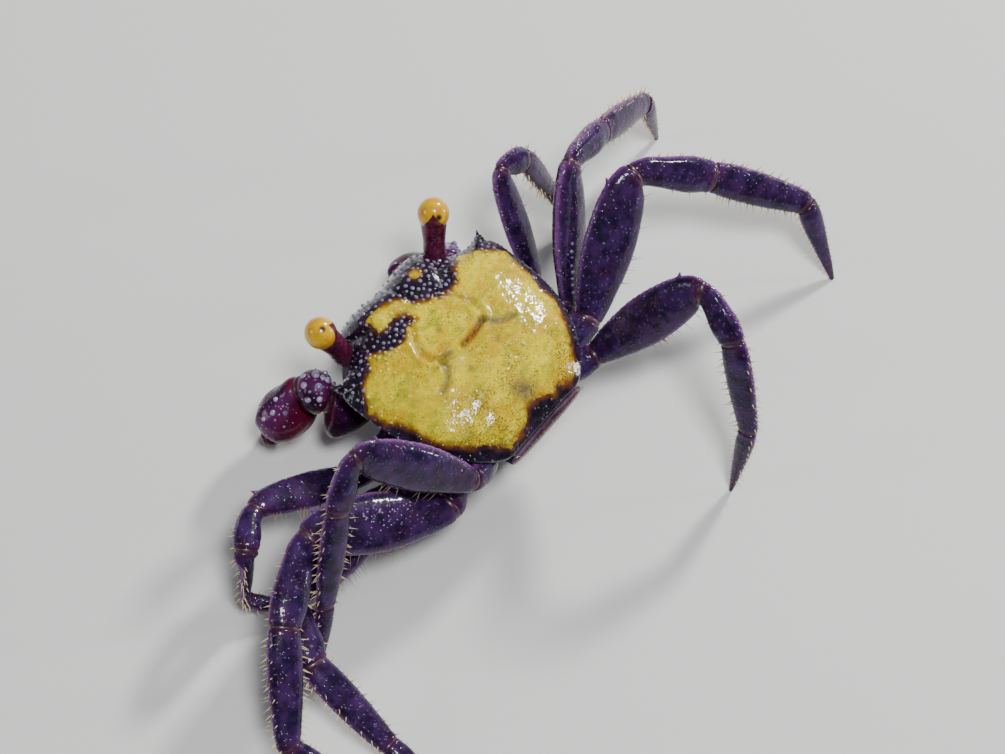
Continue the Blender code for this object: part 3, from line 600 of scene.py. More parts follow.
@dataclass(frozen=True)
class BackFinish:
    """The shell plate of the back: a mottled yellow patch in a black-violet margin. Its cream
    flecks are painted highlights, and its pale grains are partly painted highlights.
    """

    name: str = "back shell"
    lemon: tuple = (0.80, 0.64, 0.008)
    ochre: tuple = (0.62, 0.39, 0.003)
    green: tuple = (0.34, 0.34, 0.010)
    olive: tuple = (0.085, 0.070, 0.012)
    cream_and_glint: tuple = (0.90, 0.80, 0.20)
    orange: tuple = (0.17, 0.048, 0.008)
    black: tuple = (0.006, 0.003, 0.010)
    violet: tuple = (0.022, 0.010, 0.036)
    red_brown: tuple = (0.13, 0.025, 0.022)
    grey: tuple = (0.10, 0.075, 0.065)
    pearl: tuple = (0.32, 0.27, 0.42)

    def make(self, effects: Effects) -> bpy.types.Material:
        """Builds the material."""
        material, wiring, shader = start_material(self.name)
        spot = wiring.millimetres()
        inputs = {"Depth": wiring.mark("patch"), "Vector": spot, "Ragged": 0.55, "Soft": 0.16}
        patch = wiring.place(effects.border, inputs)
        inputs = {"Vector": spot, "Scale": 3.6, "Size": 0.38, "Share": 0.35}
        grains = wiring.place(effects.granules, inputs)
        shade = wiring.span(wiring.clouds(spot, 1.1, 3.0), 0.42, 0.72)
        dark = wiring.mix(shade, self.black, self.violet)
        # Grains in the dark margin are tinted pale: partly their own colour, partly painted
        # highlights
        dark = wiring.tint(dark, self.pearl, grains["Mask"], 0.35)
        colour = wiring.mix(patch["Mask"], dark, self.mottle(wiring, effects, spot))
        broken = wiring.span(wiring.clouds(spot, 1.2), 0.35, 0.6, 0.15, 0.8)
        colour = wiring.tint(colour, self.orange, patch["Rim"], broken)
        # Grain balls are pale: partly their own colour, partly painted highlights on them
        dot = wiring.mix(patch["Mask"], self.pearl, self.cream_and_glint)
        colour = wiring.tint(colour, dot, wiring.mark("grain"), 0.6)
        rough = wiring.span(wiring.clouds(spot, 2.2, 4.0), 0.3, 0.7, 0.20, 0.42)
        height = wiring.plus(grains["Height"], wiring.clouds(spot, 3.4, 4.0, 0.7))
        ripple = wiring.times(wiring.clouds(spot, 1.5, 3.0, 0.6), 1.5)
        ripple = wiring.plus(grains["Height"], ripple)
        wiring.feed(shader, {
            "Base Color": colour,
            "Roughness": rough,
            "Normal": wiring.relief(height, 0.6, 0.00009),
            "Coat Normal": wiring.relief(ripple, 0.5, 0.00010),
        })
        set_gloss(shader, 1.0, 0.03, 0.08)
        return material

    def mottle(self, wiring: Wiring, effects: Effects, spot) -> bpy.types.NodeSocket:
        """Returns the mottled colour of the yellow patch, with its furrows, grey marks and cream
        flecks of painted highlight.
        """
        wash = wiring.span(wiring.clouds(spot, 0.42, 3.0, 0.6), 0.36, 0.62)
        colour = wiring.mix(wash, self.ochre, self.lemon)
        streaks = wiring.clouds(wiring.millimetres((0.8, 1.3, 1.0)), 0.7, 4.0, 0.6)
        colour = wiring.tint(colour, self.green, wiring.span(streaks, 0.48, 0.66), 0.75)
        # Cream flecks scattered by noise: painted wet highlights
        light = wiring.span(wiring.clouds(spot, 3.4, 4.0, 0.7), 0.54, 0.66)
        colour = wiring.tint(colour, self.cream_and_glint, light, 0.5)
        shade = wiring.span(wiring.clouds(spot, 2.4, 4.0, 0.7), 0.46, 0.34)
        colour = wiring.tint(colour, self.green, shade, 0.7)
        rear = wiring.add("ShaderNodeSeparateXYZ", {0: spot}).outputs[1]
        amount = wiring.span(rear, -4.0, 4.0, 0.20, 0.46)
        specks = wiring.place(effects.speckle, {"Vector": spot, "Scale": 8.0, "Amount": amount})
        colour = wiring.tint(colour, self.olive, specks["Mask"], 0.8)
        hatch = wiring.span(wiring.clouds(spot, 6.0, 3.0, 0.7), 0.34, 0.54, 0.6, 1.0)
        colour = wiring.tint(colour, self.grey, wiring.mark("smudge"), hatch)
        return wiring.tint(colour, self.red_brown, wiring.mark("groove"), hatch)


@dataclass(frozen=True)
class EyeFinish:
    """Bright eye with a faint dark spot, and the crimson wedge of its stalk."""

    name: str = "eye"
    yellow: tuple = (0.68, 0.42, 0.0)
    amber: tuple = (0.58, 0.24, 0.0)
    crimson: tuple = (0.085, 0.005, 0.026)
    dark: tuple = (0.020, 0.012, 0.004)

    def make(self, effects: Effects) -> bpy.types.Material:
        """Builds the material."""
        material, wiring, shader = start_material(self.name)
        spot = wiring.millimetres()
        cloud = wiring.span(wiring.clouds(spot, 1.4, 3.0), 0.35, 0.7)
        colour = wiring.mix(cloud, self.yellow, self.amber)
        flecks = wiring.place(effects.speckle, {"Vector": spot, "Scale": 9.0, "Amount": 0.2})
        colour = wiring.tint(colour, self.amber, flecks["Mask"], 0.35)
        colour = wiring.mix(wiring.span(wiring.mark("pupil"), 0.2, 0.95), colour, self.dark)
        colour = wiring.mix(wiring.span(wiring.mark("wedge"), 0.45, 0.55), colour, self.crimson)
        wiring.feed(shader, {"Base Color": colour, "Roughness": 0.3})
        set_gloss(shader, 0.8, 0.04, 0.3)
        return material


@dataclass(frozen=True)
class PlainFinish:
    """A single colour with soft clouds in it, for skin, hairs and small parts."""

    name: str
    base: tuple
    second: tuple
    roughness: float
    coat: float
    tip: tuple | None = None

    def make(self, effects: Effects) -> bpy.types.Material:
        """Builds the material."""
        material, wiring, shader = start_material(self.name)
        cloud = wiring.span(wiring.clouds(wiring.millimetres(), 2.0, 3.0), 0.35, 0.65)
        colour = wiring.mix(cloud, self.base, self.second)
        if self.tip:
            colour = wiring.mix(wiring.mark("shaft"), colour, self.tip)
        wiring.feed(shader, {"Base Color": colour, "Roughness": self.roughness})
        set_gloss(shader, self.coat, 0.12, 0.5)
        return material


@dataclass
class Palette:
    """Every finish of the crab, made once."""

    effects: Effects = field(default_factory=Effects)
    made: dict = field(default_factory=dict)

    def get(self, finish) -> bpy.types.Material:
        """Returns the material of a finish."""
        if finish.name not in self.made:
            self.made[finish.name] = finish.make(self.effects)
        return self.made[finish.name]


# The bright rim and grain colours here are partly painted highlights on the edges and grains
LEG_SHELL = LimbFinish(
    name="leg shell",
    deep=(0.009, 0.004, 0.026),
    light=(0.041, 0.015, 0.086),
    rim=(0.26, 0.085, 0.34),
    joint=(0.075, 0.010, 0.035),
    grain=(0.26, 0.18, 0.38),
)
CLAW_SHELL = LimbFinish(
    name="claw shell",
    deep=(0.006, 0.001, 0.009),
    light=(0.018, 0.003, 0.025),
    rim=(0.11, 0.016, 0.11),
    joint=(0.15, 0.003, 0.028),
    grain=(0.36, 0.24, 0.44),
    pebble_and_sheen=(0.030, 0.006, 0.038),
    grain_share=0.3,
    joint_strength=0.6,
)
UNDER_SHELL = LimbFinish(
    name="under shell",
    deep=(0.020, 0.009, 0.028),
    light=(0.070, 0.036, 0.075),
    rim=(0.15, 0.09, 0.14),
    joint=(0.070, 0.022, 0.035),
    grain=(0.22, 0.18, 0.26),
    pebble_and_sheen=(0.09, 0.055, 0.10),
    grain_share=0.4,
)
# On the eyestalk its pale joint colour paints a highlight band near the root; on the feelers it
# colours their joints
STALK_SHELL = LimbFinish(
    name="eyestalk shell",
    deep=(0.055, 0.002, 0.018),
    light=(0.160, 0.009, 0.050),
    rim=(0.16, 0.030, 0.10),
    joint=(0.20, 0.08, 0.17),
    grain=(0.24, 0.08, 0.16),
    pebble_and_sheen=(0.14, 0.020, 0.06),
    grain_share=0.2,
)
BRISTLE = PlainFinish(
    "bristle", (0.50, 0.34, 0.13), (0.66, 0.52, 0.26), 0.4, 0.2, (0.80, 0.70, 0.42)
)
HAIR = PlainFinish(
    "long hair", (0.16, 0.09, 0.06), (0.30, 0.20, 0.12), 0.4, 0.2, (0.42, 0.32, 0.20)
)
JOINT_SKIN = PlainFinish("joint skin", (0.028, 0.006, 0.020), (0.062, 0.014, 0.038), 0.4, 0.3)
# Pale loose grains of legs and claws: partly their own colour, partly painted highlight dots
LEG_GRAIN_AND_GLINT = PlainFinish("leg grain", (0.11, 0.07, 0.18), (0.30, 0.22, 0.42), 0.22, 0.8)
PEARL = PlainFinish("pearly grain", (0.15, 0.09, 0.25), (0.42, 0.35, 0.56), 0.2, 1.0)
EYE = EyeFinish()
BACK = BackFinish()


def corner(before: Vector, joint: Vector, after: Vector, setback: float, s: float) -> tuple:
    """Returns the point and the direction at s on the rounded corner of a joint."""
    start = joint - before * setback
    end = joint + after * setback
    point = start * (1 - s) ** 2 + joint * (2 * s * (1 - s)) + end * s * s
    tangent = (joint - start) * (1 - s) + (end - joint) * s
    return point, tangent.normalized()


def limb_path(joints: list, index: int, straight: int, setbacks: tuple, steps: int = 5) -> list:
    """Returns the points and directions from the middle of one joint to the middle of the next.

    Args:
        joints: All joints of the limb.
        index: Which segment is wanted.
        straight: How many points its straight part gets.
        setbacks: How far each joint's rounding reaches.
        steps: How many points stand for half a rounded joint.

    Returns:
        Pairs of a point and a direction.
    """
    directions = [(b - a).normalized() for a, b in zip(joints, joints[1:])]
    start, end = joints[index], joints[index + 1]
    own = directions[index]
    first = setbacks[index]
    points = [(start, own)]
    if index > 0:
        halves = [0.5 + 0.5 * step / steps for step in range(steps)]
        points = [corner(directions[index - 1], start, own, first, s) for s in halves]
    last_joint = index == len(directions) - 1
    last = 0.0 if last_joint else setbacks[index + 1]
    run = (end - start).length - first - last
    for step in range(0 if index else 1, straight + 2):
        points.append((start + own * (first + run * step / (straight + 1)), own))
    if not last_joint:
        for step in range(1, steps + 1):
            points.append(corner(own, end, directions[index + 1], last, 0.5 * step / steps))
    return points


@dataclass
class Tube:
    """A rounded limb surface around a bent path, read by share of its way and by angle.

    Angle 0 is the dorsal edge. The form gives half height, half thickness and the shift of the
    section towards the dorsal edge at each share of the way.
    """

    path: list
    thick: Vector
    form: list
    squareness: float = 2.2
    keel: float = 0.0
    dorsal_sign: float = 1.0

    def __post_init__(self) -> None:
        """Measures the way along the path."""
        self.ways = [0.0]
        for (a, _), (b, _) in zip(self.path, self.path[1:]):
            self.ways.append(self.ways[-1] + (b - a).length)
        self.length = self.ways[-1]

    def line(self, t: float) -> tuple:
        """Returns the point and direction of the path at a share of its length."""
        way = t * self.length
        index = 0
        while index < len(self.path) - 2 and self.ways[index + 1] < way:
            index += 1
        (a, first), (b, second) = self.path[index], self.path[index + 1]
        s = (way - self.ways[index]) / max(self.ways[index + 1] - self.ways[index], 1e-6)
        clipped = min(max(s, 0.0), 1.0)
        return a + (b - a) * s, (first + (second - first) * clipped).normalized()

    def axes(self, t: float) -> tuple:
        """Returns the point, the dorsal direction, the sideways direction and the tangent."""
        point, tangent = self.line(t)
        thick = (self.thick - tangent * self.thick.dot(tangent)).normalized()
        dorsal = thick.cross(tangent) * self.dorsal_sign
        return point, dorsal, thick, tangent

    def sizes(self, t: float) -> tuple:
        """Returns half height, half thickness and shift at a share of the way."""
        return tuple(smooth_value([(f[0], f[k]) for f in self.form], t) for k in (1, 2, 3))

    def point(self, t: float, angle: float, swell: float = 1.0) -> Vector:
        """Returns the surface point at a share of the way and an angle."""
        centre, dorsal, thick, _ = self.axes(t)
        high, thin, shift = self.sizes(t)
        c, s = math.cos(angle), math.sin(angle)
        reach = (abs(c) ** self.squareness + abs(s) ** self.squareness) ** (-1 / self.squareness)
        reach *= swell * (1 + self.keel * bump(angle_between(angle, 0.0), 0.35))
        centre = centre + dorsal * shift
        return centre + dorsal * (high * c * reach) + thick * (thin * s * reach)

    def outward(self, t: float, angle: float) -> Vector:
        """Returns the direction that points out of the surface."""
        around = self.point(t, angle + 0.05) - self.point(t, angle - 0.05)
        along = self.point(min(t + 0.01, 1.0), angle) - self.point(max(t - 0.01, 0.0), angle)
        normal = around.cross(along).normalized()
        centre = self.axes(t)[0]
        return normal if normal.dot(self.point(t, angle) - centre) > 0 else -normal

    def add_skin(self, piece: Piece, share: float) -> None:
        """Adds the joint skin at the far end, as thick as a share of the tube."""
        point, dorsal, thick, tangent = self.axes(1.0)
        high, thin, _ = self.sizes(1.0)
        turn = Matrix((dorsal, thick, tangent)).transposed()
        piece.ball(point, Vector((high * share, thin * share, 0.5)), turn, 3)


def limb_marks(tube: Tube, t: float, angle: float, rim_width: float = 0.24) -> dict:
    """Returns how near a point of a limb is to its edges and to its joints."""
    near_joint = max(bump(t * tube.length, 0.4), bump((1 - t) * tube.length, 0.38))
    upper = bump(angle_between(angle, 0.0), rim_width)
    lower = 0.7 * bump(angle_between(angle, math.pi), rim_width)
    return {"rim": max(upper, lower), "joint": near_joint}


def toe_marks(tube: Tube, t: float, angle: float) -> dict:
    """Returns the marks of a dactyl, whose tip is reddened."""
    marks = limb_marks(tube, t, angle)
    marks["joint"] = max(marks["joint"] * (1 - t), 0.9 * smoothstep(0.55, 0.95, t))
    return marks


def claw_marks(tube: Tube, t: float, angle: float) -> dict:
    """Returns the marks of a claw's part, whose edges are broad."""
    return limb_marks(tube, t, angle, 0.55)


def hand_marks(tube: Tube, t: float, angle: float) -> dict:
    """Returns the marks of a hand, which is crimson along one edge."""
    marks = claw_marks(tube, t, angle)
    marks["joint"] = max(marks["joint"], bump(angle_between(angle, HAND_CRIMSON_ANGLE), 0.8))
    return marks


def rounded_end(share: float) -> list:
    """Returns the places and the widths of the rings of a tube's rounded end."""
    rings = []
    for step in range(CAP_STEPS):
        place = share * (1 - math.cos(step / CAP_STEPS * math.pi / 2))
        rings.append((place, math.sin((step + 0.6) / (CAP_STEPS + 0.6) * math.pi / 2)))
    return rings


def tube_rings(tube: Tube, count: int, sides: int, caps: tuple, relief, marks=limb_marks) -> list:
    """Samples a tube into rings with rounded ends.

    Args:
        tube: The surface.
        count: How many rings its length gets.
        sides: How many points a ring gets.
        caps: How long the rounded start and the rounded end are.
        relief: Function of share and angle that returns a swelling.
        marks: Function of tube, share and angle that returns a point's marks.

    Returns:
        The rings, each with a pair of a point and its marks for each vertex.
    """
    first = caps[0] / tube.length
    last = 1 - caps[1] / tube.length
    places = rounded_end(first)
    places += [(first + (last - first) * step / count, 1.0) for step in range(count + 1)]
    places += [(1 - t, swell) for t, swell in reversed(rounded_end(caps[1] / tube.length))]
    rings = []
    for t, swell in places:
        ring = []
        for angle in circle(sides):
            spot = tube.point(t, angle, swell)
            lift = 0.02 * noise.noise(spot * 1.3) + relief(t, angle)
            spot = spot + (spot - tube.axes(t)[0]).normalized() * lift
            ring.append((spot, marks(tube, t, angle)))
        rings.append(ring)
    return rings


# Shapes on the back, in millimetres from above: the yellow patch, its furrows and its marks
YELLOW_PATCH = [
    (-4.8, -4.8), (-5.4, -5.2), (-6.3, -4.3), (-7.4, -3.5), (-7.9, -2.8), (-7.6, -1.6),
    (-7.4, -0.2), (-7.0, 0.7), (-7.0, 2.4), (-6.5, 3.3), (-5.8, 4.4), (-5.0, 5.3),
    (-4.2, 6.4), (-3.3, 6.7), (-2.2, 6.3), (-1.6, 6.5), (-0.6, 5.9), (0.4, 5.8),
    (1.5, 6.5), (2.2, 6.6), (3.4, 6.7), (4.5, 5.4), (5.2, 4.9), (6.3, 3.5),
    (6.8, 2.3), (6.9, 1.2), (7.2, 0.1), (7.7, -0.8), (7.8, -2.2), (7.5, -2.7),
    (6.7, -3.6), (5.7, -3.9), (4.8, -4.8), (4.1, -4.1), (3.4, -3.5), (2.4, -3.4),
    (1.7, -3.9), (0.8, -3.8), (0.9, -4.5), (1.8, -5.1), (2.6, -5.0), (3.1, -5.3),
    (3.1, -5.9), (3.0, -6.5), (2.4, -6.5), (1.4, -6.3), (0.6, -5.8), (0.0, -4.8),
    (-0.6, -4.2), (-1.4, -3.7), (-2.5, -3.4), (-3.4, -3.6), (-4.0, -4.3),
]
CROSS_FURROW = [(-2.0, -0.3), (-1.2, -0.12), (0.0, -0.05), (1.2, -0.12), (2.1, -0.4)]
SIDE_FURROW = [(2.1, -0.4), (2.45, 0.35), (2.95, 0.8), (3.8, 1.05)]
DOME_FURROW = [(1.4, -3.8), (2.2, -2.9), (2.65, -1.9), (2.6, -1.0), (2.1, -0.35)]
REAR_FURROW = [(-3.4, 4.4), (-1.5, 4.0), (0.0, 3.9), (1.5, 4.0), (3.4, 4.4)]
FRONT_NOTCH = [(0.0, -8.3), (0.0, -4.9)]
RED_MARK = [(-1.85, -0.25), (-0.9, -0.1), (0.2, -0.1)]
TAN_SPOT = (-1.85, -6.15)
BACK_TOOTH = (7.45, -5.0, 8.95)
BACK_TOOTH_WAY = (0.6, -0.75, 0.25)
# Grey marks: x, y, width and strength
GREY_SPOTS = [
    (-0.1, 5.0, 0.8, 0.85), (0.5, -2.0, 0.26, 0.6), (-1.65, 1.4, 0.28, 0.6),
    (1.2, 1.5, 0.28, 0.4), (1.5, -0.35, 0.5, 0.75), (0.3, 0.7, 0.3, 0.3),
]
# Raised regions: x, y, radius and height
BACK_DOMES = [
    (0.0, -2.0, 2.0, 0.2), (0.95, -5.9, 0.95, 0.24), (-0.95, -5.9, 0.95, 0.24),
    (2.75, -5.6, 0.85, 0.22), (-2.75, -5.6, 0.85, 0.22), (5.2, -2.2, 1.8, 0.12),
    (-5.2, -2.2, 1.8, 0.12), (4.6, 3.4, 2.2, 0.1), (-4.6, 3.4, 2.2, 0.1),
]
# Rings of the plate's underside: share of the way to the margin, and how far under it
UNDERSIDE = ((0.15, 0.0), (0.6, 0.0), (0.94, 0.5), (0.975, 0.46), (0.995, 0.34), (1.004, 0.18))
UNDERSIDE_LEVEL = -0.95
BARE = {"patch": -1.0, "smudge": 0.0, "groove": 0.0, "grain": 0.0}
GRAIN_TRIES = 2600


def flat_path(points: list, sign: float = 1.0) -> list:
    """Returns flat vectors for a list of pairs, mirrored where the sign is -1."""
    return [Vector((x * sign, y)) for x, y in points]


def turn_of(way: Vector) -> float:
    """Returns the angle of a flat way from the front of the shell."""
    return math.atan2(way.x, -way.y) % (2 * math.pi)


class Back:
    """The domed shell plate of the back, with its raised regions and its pattern."""

    steps = 10
    levels = 96

    def __init__(self) -> None:
        """Prepares the flat shapes."""
        self.edge = smooth_outline(CARAPACE_EDGE, self.steps)
        self.turns = [turn_of(Vector(spot[:2]) - SHELL_CENTRE) for spot in self.edge]
        self.patch = flat_path(YELLOW_PATCH)
        self.red = flat_path(RED_MARK)
        self.sides = [flat_path(SIDE_FURROW, sign) for sign in (1.0, -1.0)]
        # Each furrow with its depth and its width
        self.furrows = [
            (flat_path(CROSS_FURROW), 0.26, 0.24),
            (flat_path(REAR_FURROW), 0.06, 0.4),
            (flat_path(FRONT_NOTCH), 0.14, 0.2),
        ]
        for sign in (1.0, -1.0):
            self.furrows.append((flat_path(SIDE_FURROW, sign), 0.13, 0.22))
            self.furrows.append((flat_path(DOME_FURROW, sign), 0.20, 0.20))

    def relief(self, x: float, y: float) -> float:
        """Returns how much the back rises or sinks at a place seen from above."""
        spot = Vector((x, y))
        rise = 0.05 * noise.noise(Vector((x * 0.8, y * 0.8, 0.0)))
        rise += 0.025 * noise.noise(Vector((x * 2.3, y * 2.3, 4.0)))
        for path, depth, width in self.furrows:
            away = distance_to_path(spot, path)
            bank = 0.35 * depth * bump(away - 2.1 * width, 1.1 * width)
            rise += bank - depth * bump(away, width)
        for dome_x, dome_y, radius, height in BACK_DOMES:
            rise += height * bump((spot - Vector((dome_x, dome_y))).length, radius)
        return rise

    def marks(self, x: float, y: float) -> dict:
        """Returns the numbers that the finish reads at a place seen from above."""
        spot = Vector((x, y))
        depth = max(signed_distance(spot, self.patch), 0.42 - (spot - Vector(TAN_SPOT)).length)
        grey_marks = [
            strength * bump((spot - Vector((gx, gy))).length, width)
            for gx, gy, width, strength in GREY_SPOTS
        ]
        # Greyer along the side furrows
        grey_marks += [0.75 * bump(distance_to_path(spot, path), 0.3) for path in self.sides]
        return {
            "patch": min(max(depth, -2.0), 2.0),
            "smudge": max(grey_marks),
            "groove": bump(distance_to_path(spot, self.red), 0.26),
            "grain": 0.0,
        }

    def height(self, x: float, y: float) -> float:
        """Returns the height of the back over the floor at a place seen from above."""
        reach, h, fall = self.share(x, y)
        lift = self.relief(x, y) * smoothstep(1.0, 0.93, reach)
        return MARGIN_HEIGHT + h + (CROWN - h) * (1 - min(reach, 1.0) ** fall) + lift

    def share(self, x: float, y: float) -> tuple:
        """Returns a place's share of the way to the margin, with the margin's height and fall."""
        way = Vector((x, y)) - SHELL_CENTRE
        turn = turn_of(way)
        index = min(range(len(self.edge)), key=lambda i: angle_between(self.turns[i], turn))
        ex, ey, h, fall = self.edge[index]
        return way.length / max((Vector((ex, ey)) - SHELL_CENTRE).length, 0.1), h, fall

    def ring(self, scale: float, drop: float | None = None) -> list:
        """Returns a ring of the plate at a share of the way to its margin.

        Args:
            scale: The share.
            drop: How far under the margin it lies, for a ring of the underside.

        Returns:
            A pair of a point and its marks for each vertex.
        """
        ring = []
        for x, y, h, fall in self.edge:
            flat = SHELL_CENTRE + (Vector((x, y)) - SHELL_CENTRE) * scale
            marks = BARE
            if drop is None:
                lift = self.relief(flat.x, flat.y) * smoothstep(1.0, 0.93, scale)
                level = h + (CROWN - h) * (1 - scale**fall) + lift
                marks = self.marks(flat.x, flat.y)
            else:
                level = UNDERSIDE_LEVEL if scale < 0.9 else h - drop
            ring.append((Vector((flat.x, flat.y, MARGIN_HEIGHT + level)), marks))
        return ring

    def build(self, palette: Palette) -> None:
        """Builds the plate."""
        rings = [self.ring(scale, drop) for scale, drop in UNDERSIDE]
        for step in range(self.levels + 1):
            rings.append(self.ring(1.0 - 0.985 * (step / self.levels) ** 1.15))
        Piece.over("back_plate", rings).finish(palette.get(BACK), "carapace", "carapace")
        piece = Piece("back_grains", tuple(BARE))
        self.add_grains(piece)
        self.add_teeth(piece)
        piece.finish(palette.get(BACK), "carapace")

    def add_grains(self, piece: Piece) -> None:
        """Scatters the low shiny grains on the front of the back and along its margin."""
        placed = []
        for _ in range(GRAIN_TRIES):
            x = random.uniform(-7.6, 7.6)
            y = random.uniform(-8.3, 0.0)
            reach = self.share(x, y)[0]
            if reach > 0.965:
                continue
            here = self.marks(x, y)
            dark = here["patch"] < 0
            chance = smoothstep(-2.2, -4.4, y) * (1.0 if dark else 0.35)
            chance = max(chance, 0.35 * smoothstep(0.86, 0.93, reach))
            size = random.uniform(0.10, 0.155) * (1.0 if dark else 0.72)
            if random.random() > chance:
                continue
            if any(math.hypot(x - a, y - b) ** 2 < (size + c) ** 2 * 1.9 for a, b, c in placed):
                continue
            placed.append((x, y, size))
            here["grain"] = 1.0
            centre = Vector((x, y, self.height(x, y) - 0.01))
            piece.ball(centre, lump(size, 1.1, 0.62), marks=here)
        for x, y, h, _ in self.edge[::3]:
            if y > 4.5:
                continue
            size = lump(random.uniform(0.07, 0.11))
            here = dict(self.marks(x, y), patch=-1.0, grain=0.8)
            piece.ball(Vector((x, y, MARGIN_HEIGHT + h - 0.08)), size, marks=here)
        LOG.info("%d grains on the back", len(placed))

    def add_teeth(self, piece: Piece) -> None:
        """Adds the grainy tooth at each front corner of the plate."""
        for side in Side:
            root = side.place(BACK_TOOTH)
            way = side.place(BACK_TOOTH_WAY).normalized()
            piece.spine(root - way * 0.25, root + way * 0.85, 0.33, 14, BARE)
            for _ in range(7):
                ring = way.orthogonal().normalized()
                ring.rotate(Matrix.Rotation(random.uniform(0.0, 2 * math.pi), 3, way))
                spot = root + way * random.uniform(-0.1, 0.45) + ring * 0.24
                piece.ball(spot, lump(0.09), marks=dict(BARE, grain=1.0))


# Widths and heights of the trunk by share of the way up
TRUNK_SCALES = [
    (0.0, 0.2), (0.16, 0.5), (0.28, 0.63), (0.46, 0.74), (0.64, 0.84), (0.9, 0.955), (1.0, 1.0)
]
TRUNK_HEIGHTS = [
    (0.0, 3.1), (0.16, 3.12), (0.28, 3.6), (0.46, 4.9), (0.64, 6.2), (0.9, 7.6), (1.0, 8.4)
]
TRUNK_BOTTOM = 3.1
TRUNK_TOP = 7.8
# Tail flap from its root to its tip: y, z and half width
FLAP_FORM = [
    (7.16, 7.78, 3.75), (7.15, 6.8, 3.6), (6.5, 5.6, 3.3), (5.7, 4.5, 3.0),
    (4.8, 3.4, 2.7), (3.6, 2.5, 2.4), (1.4, 2.4, 1.8), (-1.2, 2.4, 0.8),
]


class Trunk:
    """The body under the back plate, with the breastplate and the tail flap."""

    steps = 7
    levels = 34
    flap_levels = 80
    flap_sides = 28
    hairs = 70

    def build(self, palette: Palette) -> None:
        """Builds the trunk, the flap and its hairs."""
        edge = smooth_outline(THORAX_EDGE, self.steps)
        rings = []
        for step in range(self.levels + 1):
            t = step / self.levels
            scale = smooth_value(TRUNK_SCALES, t)
            marks = {"rim": 0.3 * t, "joint": 0.2 * (1 - t)}
            ring = []
            for x, y, h in edge:
                z = smooth_value(TRUNK_HEIGHTS, t)
                if t > 0.3:
                    top = MARGIN_HEIGHT + h
                    z = min(z, TRUNK_BOTTOM + (top - TRUNK_BOTTOM) * t**0.75)
                ridge = 0.06 * math.sin(math.atan2(x, y) * 26.0)
                ridge *= smoothstep(0.02, 0.2, t) * smoothstep(0.55, 0.3, t)
                out = Vector((x, y, 0.0)).normalized()
                ring.append((Vector((x * scale, y * scale, z)) + out * ridge, marks))
            rings.append(ring)
        for scale in (0.6, 0.15):
            marks = {"rim": 0.0, "joint": 0.0}
            ring = [(Vector((x * scale, y * scale, TRUNK_TOP)), marks) for x, y, _ in edge]
            rings.append(ring)
        material = palette.get(UNDER_SHELL)
        Piece.over("trunk", rings).finish(material, "under_shell", "thorax")
        rings = [self.flap_ring(step / self.flap_levels) for step in range(self.flap_levels + 1)]
        Piece.over("tail_flap", rings).finish(material, "under_shell", "abdomen")
        self.build_hairs(palette)

    def flap_ring(self, t: float) -> list:
        """Returns a ring of the narrow flap, folded forward under the body."""
        ways, levels, halves = (even(column) for column in zip(*FLAP_FORM))
        ahead, behind = min(t + 0.01, 1.0), max(t - 0.01, 0.0)
        steps = [smooth_value(line, ahead) - smooth_value(line, behind) for line in (ways, levels)]
        band = abs(math.sin(math.pi * t * 7.0)) ** 0.35
        end = math.sin(math.pi / 2 * min(1.0, min(t, 1 - t) * 22 + 0.12))
        across = Vector((1.0, 0.0, 0.0))
        out = across.cross(Vector((0.0, *steps)).normalized())
        wide = smooth_value(halves, t) * (0.97 + 0.03 * band) * end
        thin = 0.3 * (0.72 + 0.28 * band) * end
        centre = Vector((0.0, smooth_value(ways, t), smooth_value(levels, t)))
        ring = []
        for angle in circle(self.flap_sides):
            c, s = math.cos(angle), math.sin(angle)
            reach = (abs(c) ** 3 + abs(s) ** 3) ** (-1 / 3)
            spot = centre + across * (wide * c * reach) + out * (thin * s * reach)
            ring.append((spot, {"rim": abs(c) ** 4, "joint": 0.5 * (1 - band)}))
        return ring

    def build_hairs(self, palette: Palette) -> None:
        """Builds the fringe of hairs where the flap meets the back plate."""
        piece = Piece("flap_hairs", ("shaft",))
        for step in range(self.hairs):
            x = 3.7 * (2 * step / (self.hairs - 1) - 1) + random.uniform(-0.04, 0.04)
            root = Vector((x, 7.38, 7.72))
            way = Vector((random.uniform(-0.3, 0.3), 1.0, random.uniform(0.1, 0.8))).normalized()
            piece.spine(root, root + way * random.uniform(0.22, 0.5), 0.025, 4)
        piece.finish(palette.get(HAIR), "under_shell")


PUPILS = {Side.LEFT: (0.06, 0.28, 0.96), Side.RIGHT: (0.32, 0.78, 0.72)}


